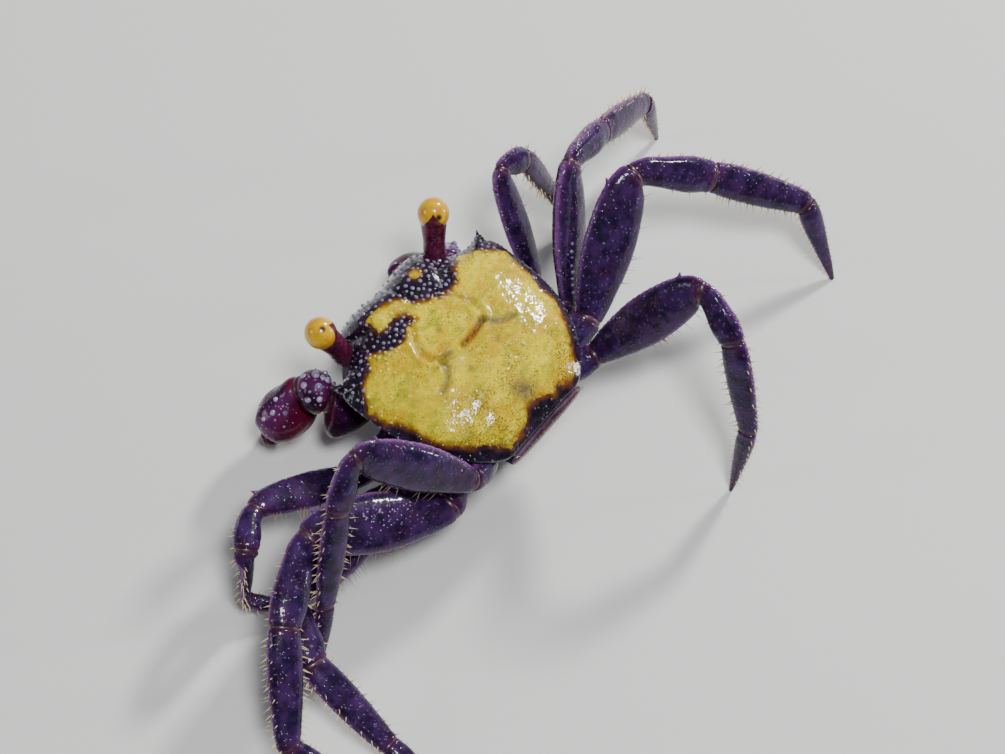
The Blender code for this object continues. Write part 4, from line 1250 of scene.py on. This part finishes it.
@dataclass
class Eye:
    """An eyestalk and the round eye on its end."""

    side: Side
    centre: tuple = (6.05, -8.0, 11.6)
    root: tuple = (4.9, -6.95, 7.2)
    inward: tuple = (-0.76, 0.65, 0.0)
    cut: float = 0.55

    def build(self, palette: Palette) -> None:
        """Builds the stalk and the eye."""
        root = self.side.place(self.root)
        centre = self.side.place(self.centre)
        axis = (centre - root).normalized()
        inward = self.side.place(self.inward)
        wedge_side = (inward - axis * inward.dot(axis)).normalized()
        other = axis.cross(wedge_side)
        rim = math.sqrt(EYE_RADIUS**2 - self.cut**2) * 0.99
        form = [(0.0, 0.72), (0.25, 0.82), (0.5, 0.80), (0.8, 0.90), (1.0, rim)]
        run = centre - axis * (self.cut - 0.12) - root
        rings = []
        for step in range(37):
            t = step / 36
            radius = smooth_value(form, t)
            radius *= 1 + 0.04 * bump(t - 0.16, 0.03) - 0.05 * bump(t - 0.3, 0.03)
            middle = root + run * t + wedge_side * (0.12 * math.sin(math.pi * t))
            # Near the root the joint mark lays a paler band and the rim mark pales the stalk:
            # painted highlight
            marks = {"rim": 0.4 * (1 - t), "joint": 0.9 * bump(t - 0.1, 0.12)}
            ring = []
            for angle in circle(32):
                way = wedge_side * math.cos(angle) + other * math.sin(angle)
                ring.append((middle + way * radius, marks))
            rings.append(ring)
        word = self.side.word
        stalk = Piece.over(f"eyestalk_shell_{word}", rings)
        stalk.finish(palette.get(STALK_SHELL), "stalk", f"eyestalk_{word}")
        ball = Piece.over(f"eye_ball_{word}", self.ball_rings(centre, axis, wedge_side, other))
        ball.finish(palette.get(EYE), "eye", f"eye_{word}")

    def ball_rings(self, centre: Vector, axis: Vector, wedge_side: Vector, other: Vector) -> list:
        """Returns the rings of the eye, with the stalk's wedge and the dark spot as marks."""
        pupil = Vector(PUPILS[self.side]).normalized()
        rings = []
        for step in range(49):
            tilt = math.asin(max(min(-0.62 + 1.615 * step / 48, 0.9995), -0.62))
            rise = math.sin(tilt)
            ring = []
            for angle in circle(56):
                way = wedge_side * math.cos(angle) + other * math.sin(angle)
                normal = axis * rise + way * math.cos(tilt)
                border = -0.46 + 1.1 * max(0.0, 1.0 - angle_between(angle, 0.0) / 0.85)
                marks = {
                    "pupil": bump((normal - pupil).length, 0.26),
                    "wedge": min(max(0.5 + (border - rise) * 3.0, 0.0), 1.0),
                }
                ring.append((centre + normal * EYE_RADIUS + axis * (0.05 * rise), marks))
            rings.append(ring)
        return rings


@dataclass(frozen=True)
class LegSizes:
    """Sizes that a left and a right leg share. The hip is given for the left side."""

    hip: tuple
    lengths: tuple
    merus_height: float
    shank_height: float


@dataclass(frozen=True)
class LegPose:
    """Yaw of each segment from its own side towards the rear, and its pitch, in degrees."""

    yaw: tuple
    pitch: tuple


LEG_SIZES = {
    1: LegSizes((6.2, -1.3, 4.7), (3.2, 9.5, 3.6, 6.0, 5.3), 2.6, 1.7),
    2: LegSizes((6.3, 1.1, 4.6), (3.3, 10.8, 5.1, 7.6, 6.6), 3.7, 2.1),
    3: LegSizes((5.9, 3.45, 5.1), (3.2, 11.1, 6.5, 8.1, 7.1), 3.9, 2.3),
    4: LegSizes((4.4, 5.4, 6.35), (2.5, 10.8, 4.5, 7.5, 6.8), 3.3, 1.9),
}
LEG_POSES = {
    (Side.LEFT, 1): LegPose((9, -26, 38, 19, 125), (-14, 16, 12, -76)),
    (Side.LEFT, 2): LegPose((8, -1, 57, 88, 91), (-3, 7, -7, -26)),
    (Side.LEFT, 3): LegPose((40, -31, 28, 42, 113), (-3, 20, -7, -26)),
    (Side.LEFT, 4): LegPose((15, -43, 19, 27, 26), (26, 42, -47, -53)),
    (Side.RIGHT, 1): LegPose((0, -70, 5, 34, 66), (2, 54, -38, -70)),
    (Side.RIGHT, 2): LegPose((12, -42, -6, -5, 25), (4, 51, -27, -36)),
    (Side.RIGHT, 3): LegPose((8, -21, 42, 51, 103), (8, 37, -23, -28)),
    (Side.RIGHT, 4): LegPose((22, 39, 108, 120, 164), (10, 49, -28, -57)),
}
# Half height of each segment by share of the way, as a share of the leg's height
SEGMENT_FORMS = {
    Segment.COXA: [(0.0, 0.50), (0.5, 0.52), (1.0, 0.40)],
    Segment.MERUS: [
        (0.0, 0.26), (0.15, 0.36), (0.45, 0.50), (0.75, 0.47), (0.93, 0.36), (1.0, 0.27)
    ],
    Segment.CARPUS: [(0.0, 0.42), (0.3, 0.46), (0.7, 0.56), (1.0, 0.48)],
    Segment.PROPODUS: [(0.0, 0.48), (0.2, 0.53), (0.5, 0.52), (0.85, 0.42), (1.0, 0.36)],
    Segment.DACTYL: [(0.0, 0.36), (0.2, 0.37), (0.6, 0.24), (0.9, 0.12), (1.0, 0.07)],
}
# Thickness of each segment as a share of its height
THICKNESS = {
    Segment.COXA: 0.85,
    Segment.MERUS: 0.46,
    Segment.CARPUS: 0.66,
    Segment.PROPODUS: 0.62,
    Segment.DACTYL: 0.75,
}
# Ridges along each segment: angle, height and width
SEGMENT_RIDGES = {
    Segment.MERUS: [
        (0.0, 0.07, 0.10), (math.pi, 0.05, 0.14), (0.62, 0.03, 0.12), (-0.62, 0.03, 0.12)
    ],
    Segment.CARPUS: [(0.0, 0.05, 0.12), (0.75, 0.06, 0.14), (-0.75, 0.06, 0.14)],
    Segment.PROPODUS: [(0.0, 0.04, 0.12), (0.7, 0.05, 0.14), (-0.7, 0.05, 0.14)],
}
# Rows of bristles: angle in degrees, first and last share of the way, gap and length
BRISTLE_ROWS = {
    Segment.CARPUS: [
        (8, 0.25, 0.95, 0.75, 0.5),
        (-20, 0.3, 0.95, 1.0, 0.4),
        (180, 0.5, 0.95, 1.1, 0.35),
    ],
    Segment.PROPODUS: [
        (6, 0.06, 0.95, 0.6, 0.62),
        (-18, 0.1, 0.95, 0.75, 0.5),
        (26, 0.15, 0.95, 1.0, 0.4),
        (176, 0.1, 0.97, 0.62, 0.66),
        (-162, 0.15, 0.97, 0.8, 0.5),
        (156, 0.2, 0.97, 1.1, 0.4),
    ],
    Segment.DACTYL: [
        (0, 0.05, 0.82, 0.5, 0.42),
        (40, 0.05, 0.8, 0.7, 0.3),
        (-40, 0.05, 0.8, 0.7, 0.3),
        (180, 0.05, 0.85, 0.45, 0.42),
    ],
}
BRISTLE_RADIUS = 0.055
HAIR_RADIUS = 0.03
# How many loose grains a segment has, and how far they spread from its dorsal edge
GRAIN_PLANS = {
    Segment.MERUS: (54, 0.25),
    Segment.CARPUS: (26, 0.3),
    Segment.PROPODUS: (26, 0.3),
}
# Rows of larger grains: first and last share of the way, angle, how many, their radius and stray
PEARL_ROWS = {
    (Side.RIGHT, 2, Segment.MERUS): [(0.10, 0.48, 1.0, 8, 0.15, 0.03)],
    (Side.LEFT, 3, Segment.MERUS): [
        (0.28, 0.72, 1.15, 18, 0.075, 0.18),
        (0.30, 0.70, 1.5, 16, 0.065, 0.25),
        (0.22, 0.62, 1.8, 14, 0.06, 0.25),
    ],
}


@dataclass
class WalkingLeg:
    """A walking leg of five plates, with its joint skin, grains and bristles."""

    side: Side
    number: int
    sides: int = 36
    setbacks: tuple = (0.0, 0.9, 1.7, 0.9, 0.8)

    @property
    def label(self) -> str:
        """Returns how the nodes spell this leg."""
        return f"leg_{self.side.word}_{self.number}"

    def joints(self) -> list:
        """Works out the six joints, from the hip to the tip on the floor."""
        sizes = LEG_SIZES[self.number]
        pose = LEG_POSES[self.side, self.number]
        point = self.side.place(sizes.hip)
        joints = [point]
        pitches = [math.radians(p) for p in pose.pitch]
        for index, length in enumerate(sizes.lengths):
            yaw = math.radians(pose.yaw[index])
            last = index == len(pitches)
            pitch = -math.asin(min(1.0, point.z / length)) if last else pitches[index]
            flat = length * math.cos(pitch)
            way = (flat * math.cos(yaw), flat * math.sin(yaw), length * math.sin(pitch))
            point = point + self.side.place(way)
            joints.append(point)
        joints[-1].z = 0.0
        return joints

    def tube(self, segment: Segment, joints: list) -> Tube:
        """Returns the surface of one segment."""
        sizes = LEG_SIZES[self.number]
        merus = (joints[2] - joints[1]).normalized()
        carpus = (joints[3] - joints[2]).normalized()
        normal = merus.cross(carpus).normalized()
        normal = normal if normal.y + normal.z > 0 else -normal
        height = sizes.merus_height if segment is Segment.MERUS else sizes.shank_height
        if segment is Segment.COXA:
            height *= 1.15
        form = []
        for share, half in SEGMENT_FORMS[segment]:
            thin = max(half * height * THICKNESS[segment], 0.12)
            if segment is Segment.MERUS:
                thin = max(thin, sizes.shank_height * 0.33)
            form.append((share, half * height, thin, 0.0))
        path = limb_path(joints, segment.value, 8, self.setbacks)
        keel = 0.0 if segment is Segment.DACTYL else 0.05
        return Tube(path, normal, form, keel=keel, dorsal_sign=-self.side.value)

    @staticmethod
    def relief(segment: Segment, tube: Tube):
        """Returns the function that swells a segment's ridges and its end collar."""
        ridges = SEGMENT_RIDGES.get(segment, [])

        def swell(t: float, angle: float) -> float:
            """Returns the swelling at a share of the way and an angle."""
            rise = sum(high * bump(angle_between(angle, at), width) for at, high, width in ridges)
            rise *= smoothstep(0.0, 0.15, t) * smoothstep(1.0, 0.85, t)
            left = (1 - t) * tube.length
            if segment is not Segment.DACTYL:
                rise += 0.03 * bump(left - 0.3, 0.16) - 0.02 * bump(left - 0.65, 0.2)
            if segment is Segment.MERUS:
                waver = 3.0 * noise.noise(Vector((t * 9.0, angle, 0.0)))
                folds = math.sin(t * tube.length * 11.0 + waver)
                rise += 0.018 * folds * bump(angle_between(angle, 0.0), 0.7)
            return rise - 0.02 * bump(t * tube.length - 0.6, 0.2)

        return swell

    def build(self, palette: Palette) -> None:
        """Builds the whole leg."""
        joints = self.joints()
        bristles = Piece(f"{self.label}_bristles", ("shaft",))
        hairs = Piece(f"{self.label}_hairs", ("shaft",))
        grains = Piece(f"{self.label}_grains")
        skins = Piece(f"{self.label}_joint_skins")
        for segment in Segment:
            tube = self.tube(segment, joints)
            self.build_segment(palette, segment, tube)
            self.add_bristles(bristles, segment, tube)
            self.add_grains(grains, segment, tube)
            if segment is Segment.MERUS:
                self.add_hairs(hairs, tube)
            if segment is not Segment.DACTYL:
                tube.add_skin(skins, 0.98)
        bristles.finish(palette.get(BRISTLE), "leg")
        hairs.finish(palette.get(HAIR), "leg")
        grains.finish(palette.get(LEG_GRAIN_AND_GLINT), "leg")
        skins.finish(palette.get(JOINT_SKIN), "leg")

    def build_segment(self, palette: Palette, segment: Segment, tube: Tube) -> None:
        """Builds one plate of the leg."""
        toe = segment is Segment.DACTYL
        caps = (0.1 if segment is Segment.COXA else 0.2, 0.02 if toe else 0.12)
        count = max(int(tube.length * 6), 10)
        marks = toe_marks if toe else limb_marks
        rings = tube_rings(tube, count, self.sides, caps, self.relief(segment, tube), marks)
        for ring in rings if toe else ():
            for spot, _ in ring:
                spot.z = max(spot.z, 0.0)
        piece = Piece.over(f"{self.label}_{segment.word}_shell", rings)
        if segment is Segment.MERUS:
            out = tube.outward(0.9, 0.0)
            root = tube.point(0.9, 0.0) - out * 0.08
            tip = root + out * 0.36 + tube.axes(0.9)[3] * 0.26
            piece.spine(root, tip, 0.2, 10, {"rim": 0.9, "joint": 0.3})
        piece.finish(palette.get(LEG_SHELL), "leg", f"{self.label}_{segment.word}")

    @staticmethod
    def add_bristles(piece: Piece, segment: Segment, tube: Tube) -> None:
        """Adds the rows of spiny bristles of one segment."""
        for degrees, start, end, gap, long in BRISTLE_ROWS.get(segment, []):
            count = int((end - start) * tube.length / gap)
            for index in range(count + 1):
                place = index + random.uniform(-0.25, 0.25)
                t = min(max(start + (end - start) * place / max(count, 1), 0.03), 0.98)
                angle = math.radians(degrees) + random.uniform(-0.12, 0.12)
                out = tube.outward(t, angle)
                root = tube.point(t, angle) - out * 0.04
                lean = tube.axes(t)[3] * random.uniform(0.15, 0.55)
                length = long * random.uniform(0.8, 1.35)
                tip = root + (out + lean).normalized() * length
                tip.z = max(tip.z, 0.02)
                piece.spine(root, tip, BRISTLE_RADIUS)

    @staticmethod
    def add_hairs(piece: Piece, tube: Tube) -> None:
        """Adds the few long hairs under a merus."""
        for _ in range(12):
            t = random.uniform(0.2, 0.95)
            angle = math.pi + random.uniform(-0.25, 0.25)
            out = tube.outward(t, angle)
            root = tube.point(t, angle) - out * 0.05
            way = (out + tube.axes(t)[3] * random.uniform(-0.1, 0.6)).normalized()
            piece.spine(root, root + way * random.uniform(0.7, 1.2), HAIR_RADIUS, 4)

    def add_grains(self, piece: Piece, segment: Segment, tube: Tube) -> None:
        """Adds the pale grains of one segment, thickest along its dorsal edge; their paleness is
        partly painted highlight.
        """
        count, spread = GRAIN_PLANS.get(segment, (0, 0.0))
        for _ in range(count):
            t = random.uniform(0.12, 0.95)
            angle = random.gauss(0.0, spread)
            out = tube.outward(t, angle)
            size = lump(random.uniform(0.04, 0.085), 1.0, 0.7)
            piece.ball(tube.point(t, angle) + out * 0.01, size, towards(out), 1)
        rows = PEARL_ROWS.get((self.side, self.number, segment), ())
        for first, last, angle, steps, size, stray in rows:
            for step in range(steps):
                place = step + random.uniform(-4.0, 4.0) * stray
                t = first + (last - first) * place / (steps - 1)
                turned = angle + random.uniform(-stray, stray)
                piece.ball(tube.point(t, turned), lump(size * random.uniform(0.75, 1.15)))


@dataclass(frozen=True)
class ClawPose:
    """Joints of one claw, all given for the left side of the body."""

    shoulder: tuple
    elbow: tuple
    wrist: tuple
    palm_end: tuple
    tip: tuple
    dorsal: tuple


CLAW_POSES = {
    Side.LEFT: ClawPose(
        shoulder=(4.7, -3.9, 4.5),
        elbow=(7.7, -6.1, 6.0),
        wrist=(8.2, -8.5, 6.4),
        palm_end=(10.1, -8.5, 2.8),
        tip=(8.7, -9.9, 0.65),
        dorsal=(0.9, 0.0, 0.42),
    ),
    Side.RIGHT: ClawPose(
        shoulder=(4.7, -3.9, 4.5),
        elbow=(6.8, -6.0, 4.6),
        wrist=(6.0, -7.8, 4.7),
        palm_end=(4.4, -8.9, 2.5),
        tip=(1.9, -9.3, 0.9),
        dorsal=(-0.8, -0.2, 0.5),
    ),
}
# Share of the way, half height, half thickness, and the shift or, on the arm, the bulge
ARM_FORM = [
    (0.0, 1.15, 0.9, 0.0), (0.4, 1.5, 1.4, 0.7), (0.79, 1.75, 2.0, 1.0),
    (0.9, 1.7, 1.65, 0.7), (1.0, 1.35, 1.05, 0.0),
]
ARM_BULGE = (0.9, 0.2, -0.9)
WRIST_FORM = [
    (0.0, 1.2, 1.05, 0.0), (0.2, 1.48, 1.35, 0.0), (0.45, 1.62, 1.5, 0.0),
    (0.65, 1.6, 1.48, 0.0), (0.85, 1.2, 1.2, 0.0), (1.0, 0.92, 1.0, 0.0),
]
HAND_FORM = [
    (0.0, 0.9, 1.0, 0.0), (0.12, 1.35, 1.15, 0.0), (0.3, 2.25, 1.8, 0.0),
    (0.45, 2.5, 1.9, 0.0), (0.56, 2.05, 1.6, -0.2), (0.64, 1.2, 1.15, -0.75),
    (0.78, 0.85, 0.8, -0.8), (0.92, 0.5, 0.5, -0.6), (1.0, 0.2, 0.2, -0.4),
]
FINGER_FORM = [
    (0.0, 0.7, 0.75, 1.45), (0.22, 0.8, 0.75, 1.5), (0.52, 0.62, 0.6, 1.3),
    (0.78, 0.38, 0.38, 0.95), (1.0, 0.15, 0.15, 0.6),
]
# Rounded start and end of each part
CLAW_CAPS = {"arm": (0.1, 0.35), "wrist": (0.45, 0.3), "hand": (0.45, 0.02), "finger": (0.25, 0.02)}
# Ridges of the hand: angle and height
HAND_RIDGES = ((0.55, 0.14), (-0.55, 0.10))
# Angle of the crimson edge along the hand
HAND_CRIMSON_ANGLE = -1.3
# Teeth of the fingers, in radians to the millimetre
TOOTH_RATE = 4.2
# Large grains of the claw: share of the way, angle from the upper edge and radius
CLAW_PEARLS = {
    "wrist": [
        (0.25, -35, 0.24), (0.28, 30, 0.27), (0.42, -5, 0.31), (0.5, 55, 0.25),
        (0.52, -50, 0.25), (0.62, 24, 0.31), (0.74, -18, 0.28), (0.46, 26, 0.24),
        (0.82, 12, 0.22),
    ],
    "hand": [
        (0.16, 25, 0.20), (0.2, -25, 0.19), (0.25, 4, 0.22), (0.33, 40, 0.16),
        (0.32, -34, 0.15), (0.36, 14, 0.17),
    ],
}
# Small grains: how many, first and last share of the way, spread in radians, least and most radius
CLAW_GRAIN_PLANS = {
    "wrist": (26, 0.15, 0.85, 1.1, 0.07, 0.13),
    "hand": (44, 0.1, 0.6, 1.0, 0.05, 0.10),
    "finger": (14, 0.0, 0.6, 0.6, 0.05, 0.08),
    "arm": (30, 0.3, 0.95, 0.5, 0.05, 0.09),
}


@dataclass
class Claw:
    """A claw: arm, wrist, hand with its fixed finger, and the moving finger."""

    side: Side
    sides: int = 48

    def tubes(self) -> dict:
        """Returns the surfaces of the four parts by name."""
        pose = CLAW_POSES[self.side]
        places = (pose.shoulder, pose.elbow, pose.wrist, pose.palm_end, pose.tip)
        joints = [self.side.place(p) for p in places]
        shoulder, elbow, wrist, palm_end, _ = joints
        upper = elbow - shoulder
        fore = wrist - elbow
        up = Vector((0.0, 0.0, 1.0))
        setbacks = (0.0, 0.8, min(1.4, 0.9 * fore.length - 0.8), 1.2)
        room = 0.8 * setbacks[1] / math.tan(upper.angle(fore) / 2)
        arm_path = self.bulged(limb_path(joints, 0, 5, setbacks), self.side.place(ARM_BULGE))
        arm_form = [(t, high, min(thin, room), 0.0) for t, high, thin, _ in ARM_FORM]
        wrist_form = [
            (t, high, min(thin, room) if t < 0.3 else thin, shift)
            for t, high, thin, shift in WRIST_FORM
        ]
        thick = (palm_end - wrist).cross(self.side.place(pose.dorsal)).normalized()
        hand_path = limb_path(joints, 2, 8, setbacks) + limb_path(joints, 3, 6, setbacks)[1:]
        hand = Tube(hand_path, thick, HAND_FORM, 2.1)
        finger_path = [hand.line(0.65 + 0.37 * step / 13) for step in range(14)]
        return {
            "arm": Tube(arm_path, upper.cross(up), arm_form),
            "wrist": Tube(limb_path(joints, 1, 4, setbacks), fore.cross(up), wrist_form),
            "hand": hand,
            "finger": Tube(finger_path, thick, FINGER_FORM),
        }

    @staticmethod
    def bulged(path: list, bulge: Vector) -> list:
        """Returns the arm's path, pushed outwards where the arm is swollen."""
        way = 0.0
        total = sum((b - a).length for (a, _), (b, _) in zip(path, path[1:]))
        pushed = []
        before = path[0][0]
        for point, tangent in path:
            way += (point - before).length
            before = point
            share = smooth_value([(f[0], f[3]) for f in ARM_FORM], way / total)
            pushed.append((point + bulge * share, tangent))
        return pushed

    def build(self, palette: Palette) -> None:
        """Builds the claw."""
        label = f"claw_{self.side.word}"
        tubes = self.tubes()
        for part, tube in tubes.items():
            count = max(int(tube.length * 9), 16)
            marks = hand_marks if part == "hand" else claw_marks
            relief = self.relief(part, tube)
            rings = tube_rings(tube, count, self.sides, CLAW_CAPS[part], relief, marks)
            piece = Piece.over(f"{label}_{part}_shell", rings)
            piece.finish(palette.get(CLAW_SHELL), "claw", f"{label}_{part}")
        pearls = Piece(f"{label}_pearls")
        grains = Piece(f"{label}_grains")
        for part in CLAW_GRAIN_PLANS:
            self.add_grains(pearls, grains, part, tubes[part])
        pearls.finish(palette.get(PEARL), "claw")
        grains.finish(palette.get(LEG_GRAIN_AND_GLINT), "claw")
        skins = Piece(f"{label}_joint_skins")
        for part in ("arm", "wrist"):
            tubes[part].add_skin(skins, 0.97)
        skins.finish(palette.get(JOINT_SKIN), "claw")

    @staticmethod
    def relief(part: str, tube: Tube):
        """Returns the function that swells the ridges and the teeth of one part."""

        def swell(t: float, angle: float) -> float:
            """Returns the swelling at a share of the way and an angle."""
            if part == "arm":
                return 0.10 * bump(angle_between(angle, 0.0), 0.2)
            if part == "wrist":
                return 0.05 * bump((1 - t) * tube.length - 0.4, 0.2)
            teeth = abs(math.sin(t * tube.length * TOOTH_RATE))
            if part == "finger":
                teeth *= bump(angle_between(angle, math.pi), 0.4)
                return 0.10 * teeth * smoothstep(0.05, 0.2, t) * smoothstep(0.98, 0.85, t)
            teeth *= bump(angle_between(angle, 0.0), 0.4)
            rise = 0.10 * teeth * smoothstep(0.62, 0.68, t) * smoothstep(0.99, 0.9, t)
            for at, high in HAND_RIDGES:
                ridge = high * bump(angle_between(angle, at), 0.16)
                rise += ridge * smoothstep(0.1, 0.25, t) * smoothstep(0.6, 0.45, t)
            return rise

        return swell

    @staticmethod
    def add_grains(pearls: Piece, grains: Piece, part: str, tube: Tube) -> None:
        """Adds the large and the small grains of one part."""
        tries, low, high, spread, small, large = CLAW_GRAIN_PLANS[part]
        placed = []
        for share, degrees, size in CLAW_PEARLS.get(part, ()):
            angle = math.radians(degrees)
            spot = tube.point(share, angle) - tube.outward(share, angle) * size * 0.3
            placed.append((spot, size))
            pearls.ball(spot, lump(size), level=3)
        for _ in range(tries * 4):
            if len(placed) >= tries:
                break
            t = random.uniform(low, high)
            angle = random.gauss(0.0, spread * 0.6)
            if abs(angle) > spread:
                continue
            spot = tube.point(t, angle)
            size = random.uniform(small, large)
            if any((spot - other).length < (size + reach) * 1.15 for other, reach in placed):
                continue
            placed.append((spot, size))
            grains.ball(spot, lump(size, 1.0, 0.75), towards(tube.outward(t, angle)))


# Middle line of the mouth plate with its half widths, and of the feeler with its radii
MOUTH_LINE = [(1.25, -4.6, 2.95), (1.3, -5.5, 3.8), (1.35, -6.5, 5.1), (1.3, -7.0, 6.0)]
MOUTH_WIDTHS = [0.95, 1.1, 1.0, 0.65]
FEELER_LINE = [(2.8, -6.9, 6.3), (2.9, -7.7, 6.1), (3.0, -8.3, 5.9), (3.1, -8.8, 5.65)]
FEELER_RADII = [0.42, 0.32, 0.26, 0.08]


@dataclass
class Face:
    """The mouth plate and the feeler of one side, under the front of the back plate."""

    side: Side

    def build(self, palette: Palette) -> None:
        """Builds this side of the face."""
        word = self.side.word
        start, end = self.side.place(MOUTH_LINE[0]), self.side.place(MOUTH_LINE[-1])
        normal = Vector((1.0, 0.0, 0.0)).cross((end - start).normalized())
        form = [(t, half, 0.4, 0.0) for t, half in even(MOUTH_WIDTHS)]
        plate = Tube(self.smooth_path(MOUTH_LINE), normal, form, 2.6)

        def furrow(t: float, angle: float) -> float:
            """Returns the swelling of the mouth plate with its slanting furrow."""
            return -0.08 * bump(t - 0.55, 0.04) + 0.03 * bump(angle_between(angle, 0.0), 0.3)

        piece = Piece.over(f"mouth_plate_{word}", tube_rings(plate, 30, 32, (0.1, 0.2), furrow))
        piece.finish(palette.get(UNDER_SHELL), "under_shell", f"mouthpart_{word}")
        form = [(t, radius, radius, 0.0) for t, radius in even(FEELER_RADII)]
        feeler = Tube(self.smooth_path(FEELER_LINE), self.side.place((1.0, 0.0, 0.3)), form)

        def rings_of(t: float, angle: float) -> float:
            """Returns the swelling of the feeler's small rings."""
            return 0.02 * math.sin(t * feeler.length * 16.0) * smoothstep(0.3, 0.5, t) * (1 - t)

        piece = Piece.over(f"feeler_{word}", tube_rings(feeler, 60, 20, (0.1, 0.02), rings_of))
        piece.finish(palette.get(STALK_SHELL), "stalk", f"antenna_{word}")

    def smooth_path(self, points: list, count: int = 24) -> list:
        """Returns a smooth path with directions through a few points of the left side."""
        columns = [even(column) for column in zip(*(self.side.place(p) for p in points))]
        path = []
        for step in range(count + 1):
            path.append(Vector([smooth_value(column, step / count) for column in columns]))
        ends = [path[0], *path, path[-1]]
        return [(p, (ends[i + 2] - ends[i]).normalized()) for i, p in enumerate(path)]


# Lamps: name, place, size, power and colour
LAMPS = [
    ("key light", (-0.30, -0.02, 0.20), 0.04, 1.25, (1.0, 0.98, 0.95)),
    ("top light", (0.03, 0.10, 0.38), 0.08, 1.15, (1.0, 1.0, 1.0)),
    ("fill light", (0.28, -0.26, 0.20), 0.12, 0.24, (0.93, 0.95, 1.0)),
    ("edge light", (-0.245, 0.21, 0.055), 0.03, 0.27, (1.0, 1.0, 1.0)),
]
SKY_COLOUR = (0.90, 0.93, 1.0, 1.0)
SKY_STRENGTH = 0.12
FLOOR_COLOUR = (0.75, 0.75, 0.74, 1.0)
FLOOR_HALF = 1.5


@dataclass
class Studio:
    """The pale floor, the soft light and the camera at the photograph's angle."""

    azimuth: float = 129.35
    elevation: float = 64.46
    roll: float = 0.22
    distance: float = 200.0
    lens: float = 103.2
    shift: tuple = (0.0360, -0.0231)

    def build(self) -> None:
        """Builds the floor, the lights and the camera."""
        self.build_floor()
        self.build_lights()
        self.build_camera()

    @staticmethod
    def build_floor() -> None:
        """Lays the pale floor."""
        work = bmesh.new()
        bmesh.ops.create_grid(work, x_segments=1, y_segments=1, size=FLOOR_HALF)
        material, wiring, shader = start_material("pale floor")
        wiring.feed(shader, {"Base Color": FLOOR_COLOUR, "Roughness": 0.8})
        floor = new_object("floor", mesh_from("floor", work, material))

    @staticmethod
    def build_lights() -> None:
        """Hangs a low key light, a light over the back, a weak fill, an edge light and a sky."""
        for name, place, size, power, colour in LAMPS:
            lamp = bpy.data.lights.new(name, "AREA")
            lamp.shape = "SQUARE"
            lamp.size = size
            lamp.energy = power
            lamp.color = colour
            thing = new_object(name, lamp)
            thing.location = place
            thing.rotation_euler = (-Vector(place)).to_track_quat("-Z", "Y").to_euler()
        world = bpy.data.worlds.new("soft sky")
        world.use_nodes = True
        sky = world.node_tree.nodes["Background"]
        sky.inputs["Color"].default_value = SKY_COLOUR
        sky.inputs["Strength"].default_value = SKY_STRENGTH
        bpy.context.scene.world = world

    def build_camera(self) -> None:
        """Sets up the camera."""
        camera = bpy.data.cameras.new("camera")
        camera.sensor_fit = "HORIZONTAL"
        camera.sensor_width = 36.0
        camera.lens = self.lens
        camera.shift_x, camera.shift_y = self.shift
        camera.clip_start = 0.005
        camera.clip_end = 10.0
        thing = new_object("camera", camera)
        a, e = math.radians(self.azimuth), math.radians(self.elevation)
        away = Vector((math.sin(a) * math.cos(e), -math.cos(a) * math.cos(e), math.sin(e)))
        target = row(Vector((0.0, 0.0, MARGIN_HEIGHT)))
        thing.location = target + away * self.distance * MM
        roll = Matrix.Rotation(math.radians(self.roll), 3, "Z").to_quaternion()
        thing.rotation_euler = ((-away).to_track_quat("-Z", "Y") @ roll).to_euler()
        bpy.context.scene.camera = thing


def main() -> None:
    """Dresses the whole crab and lights it."""
    logging.basicConfig(level=logging.INFO, format="%(message)s")
    random.seed(SEED)
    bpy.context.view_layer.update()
    palette = Palette()
    Back().build(palette)
    Trunk().build(palette)
    for side in Side:
        Eye(side).build(palette)
        Face(side).build(palette)
        Claw(side).build(palette)
        for number in LEG_SIZES:
            WalkingLeg(side, number).build(palette)
    Studio().build()


if __name__ == "__main__":
    main()
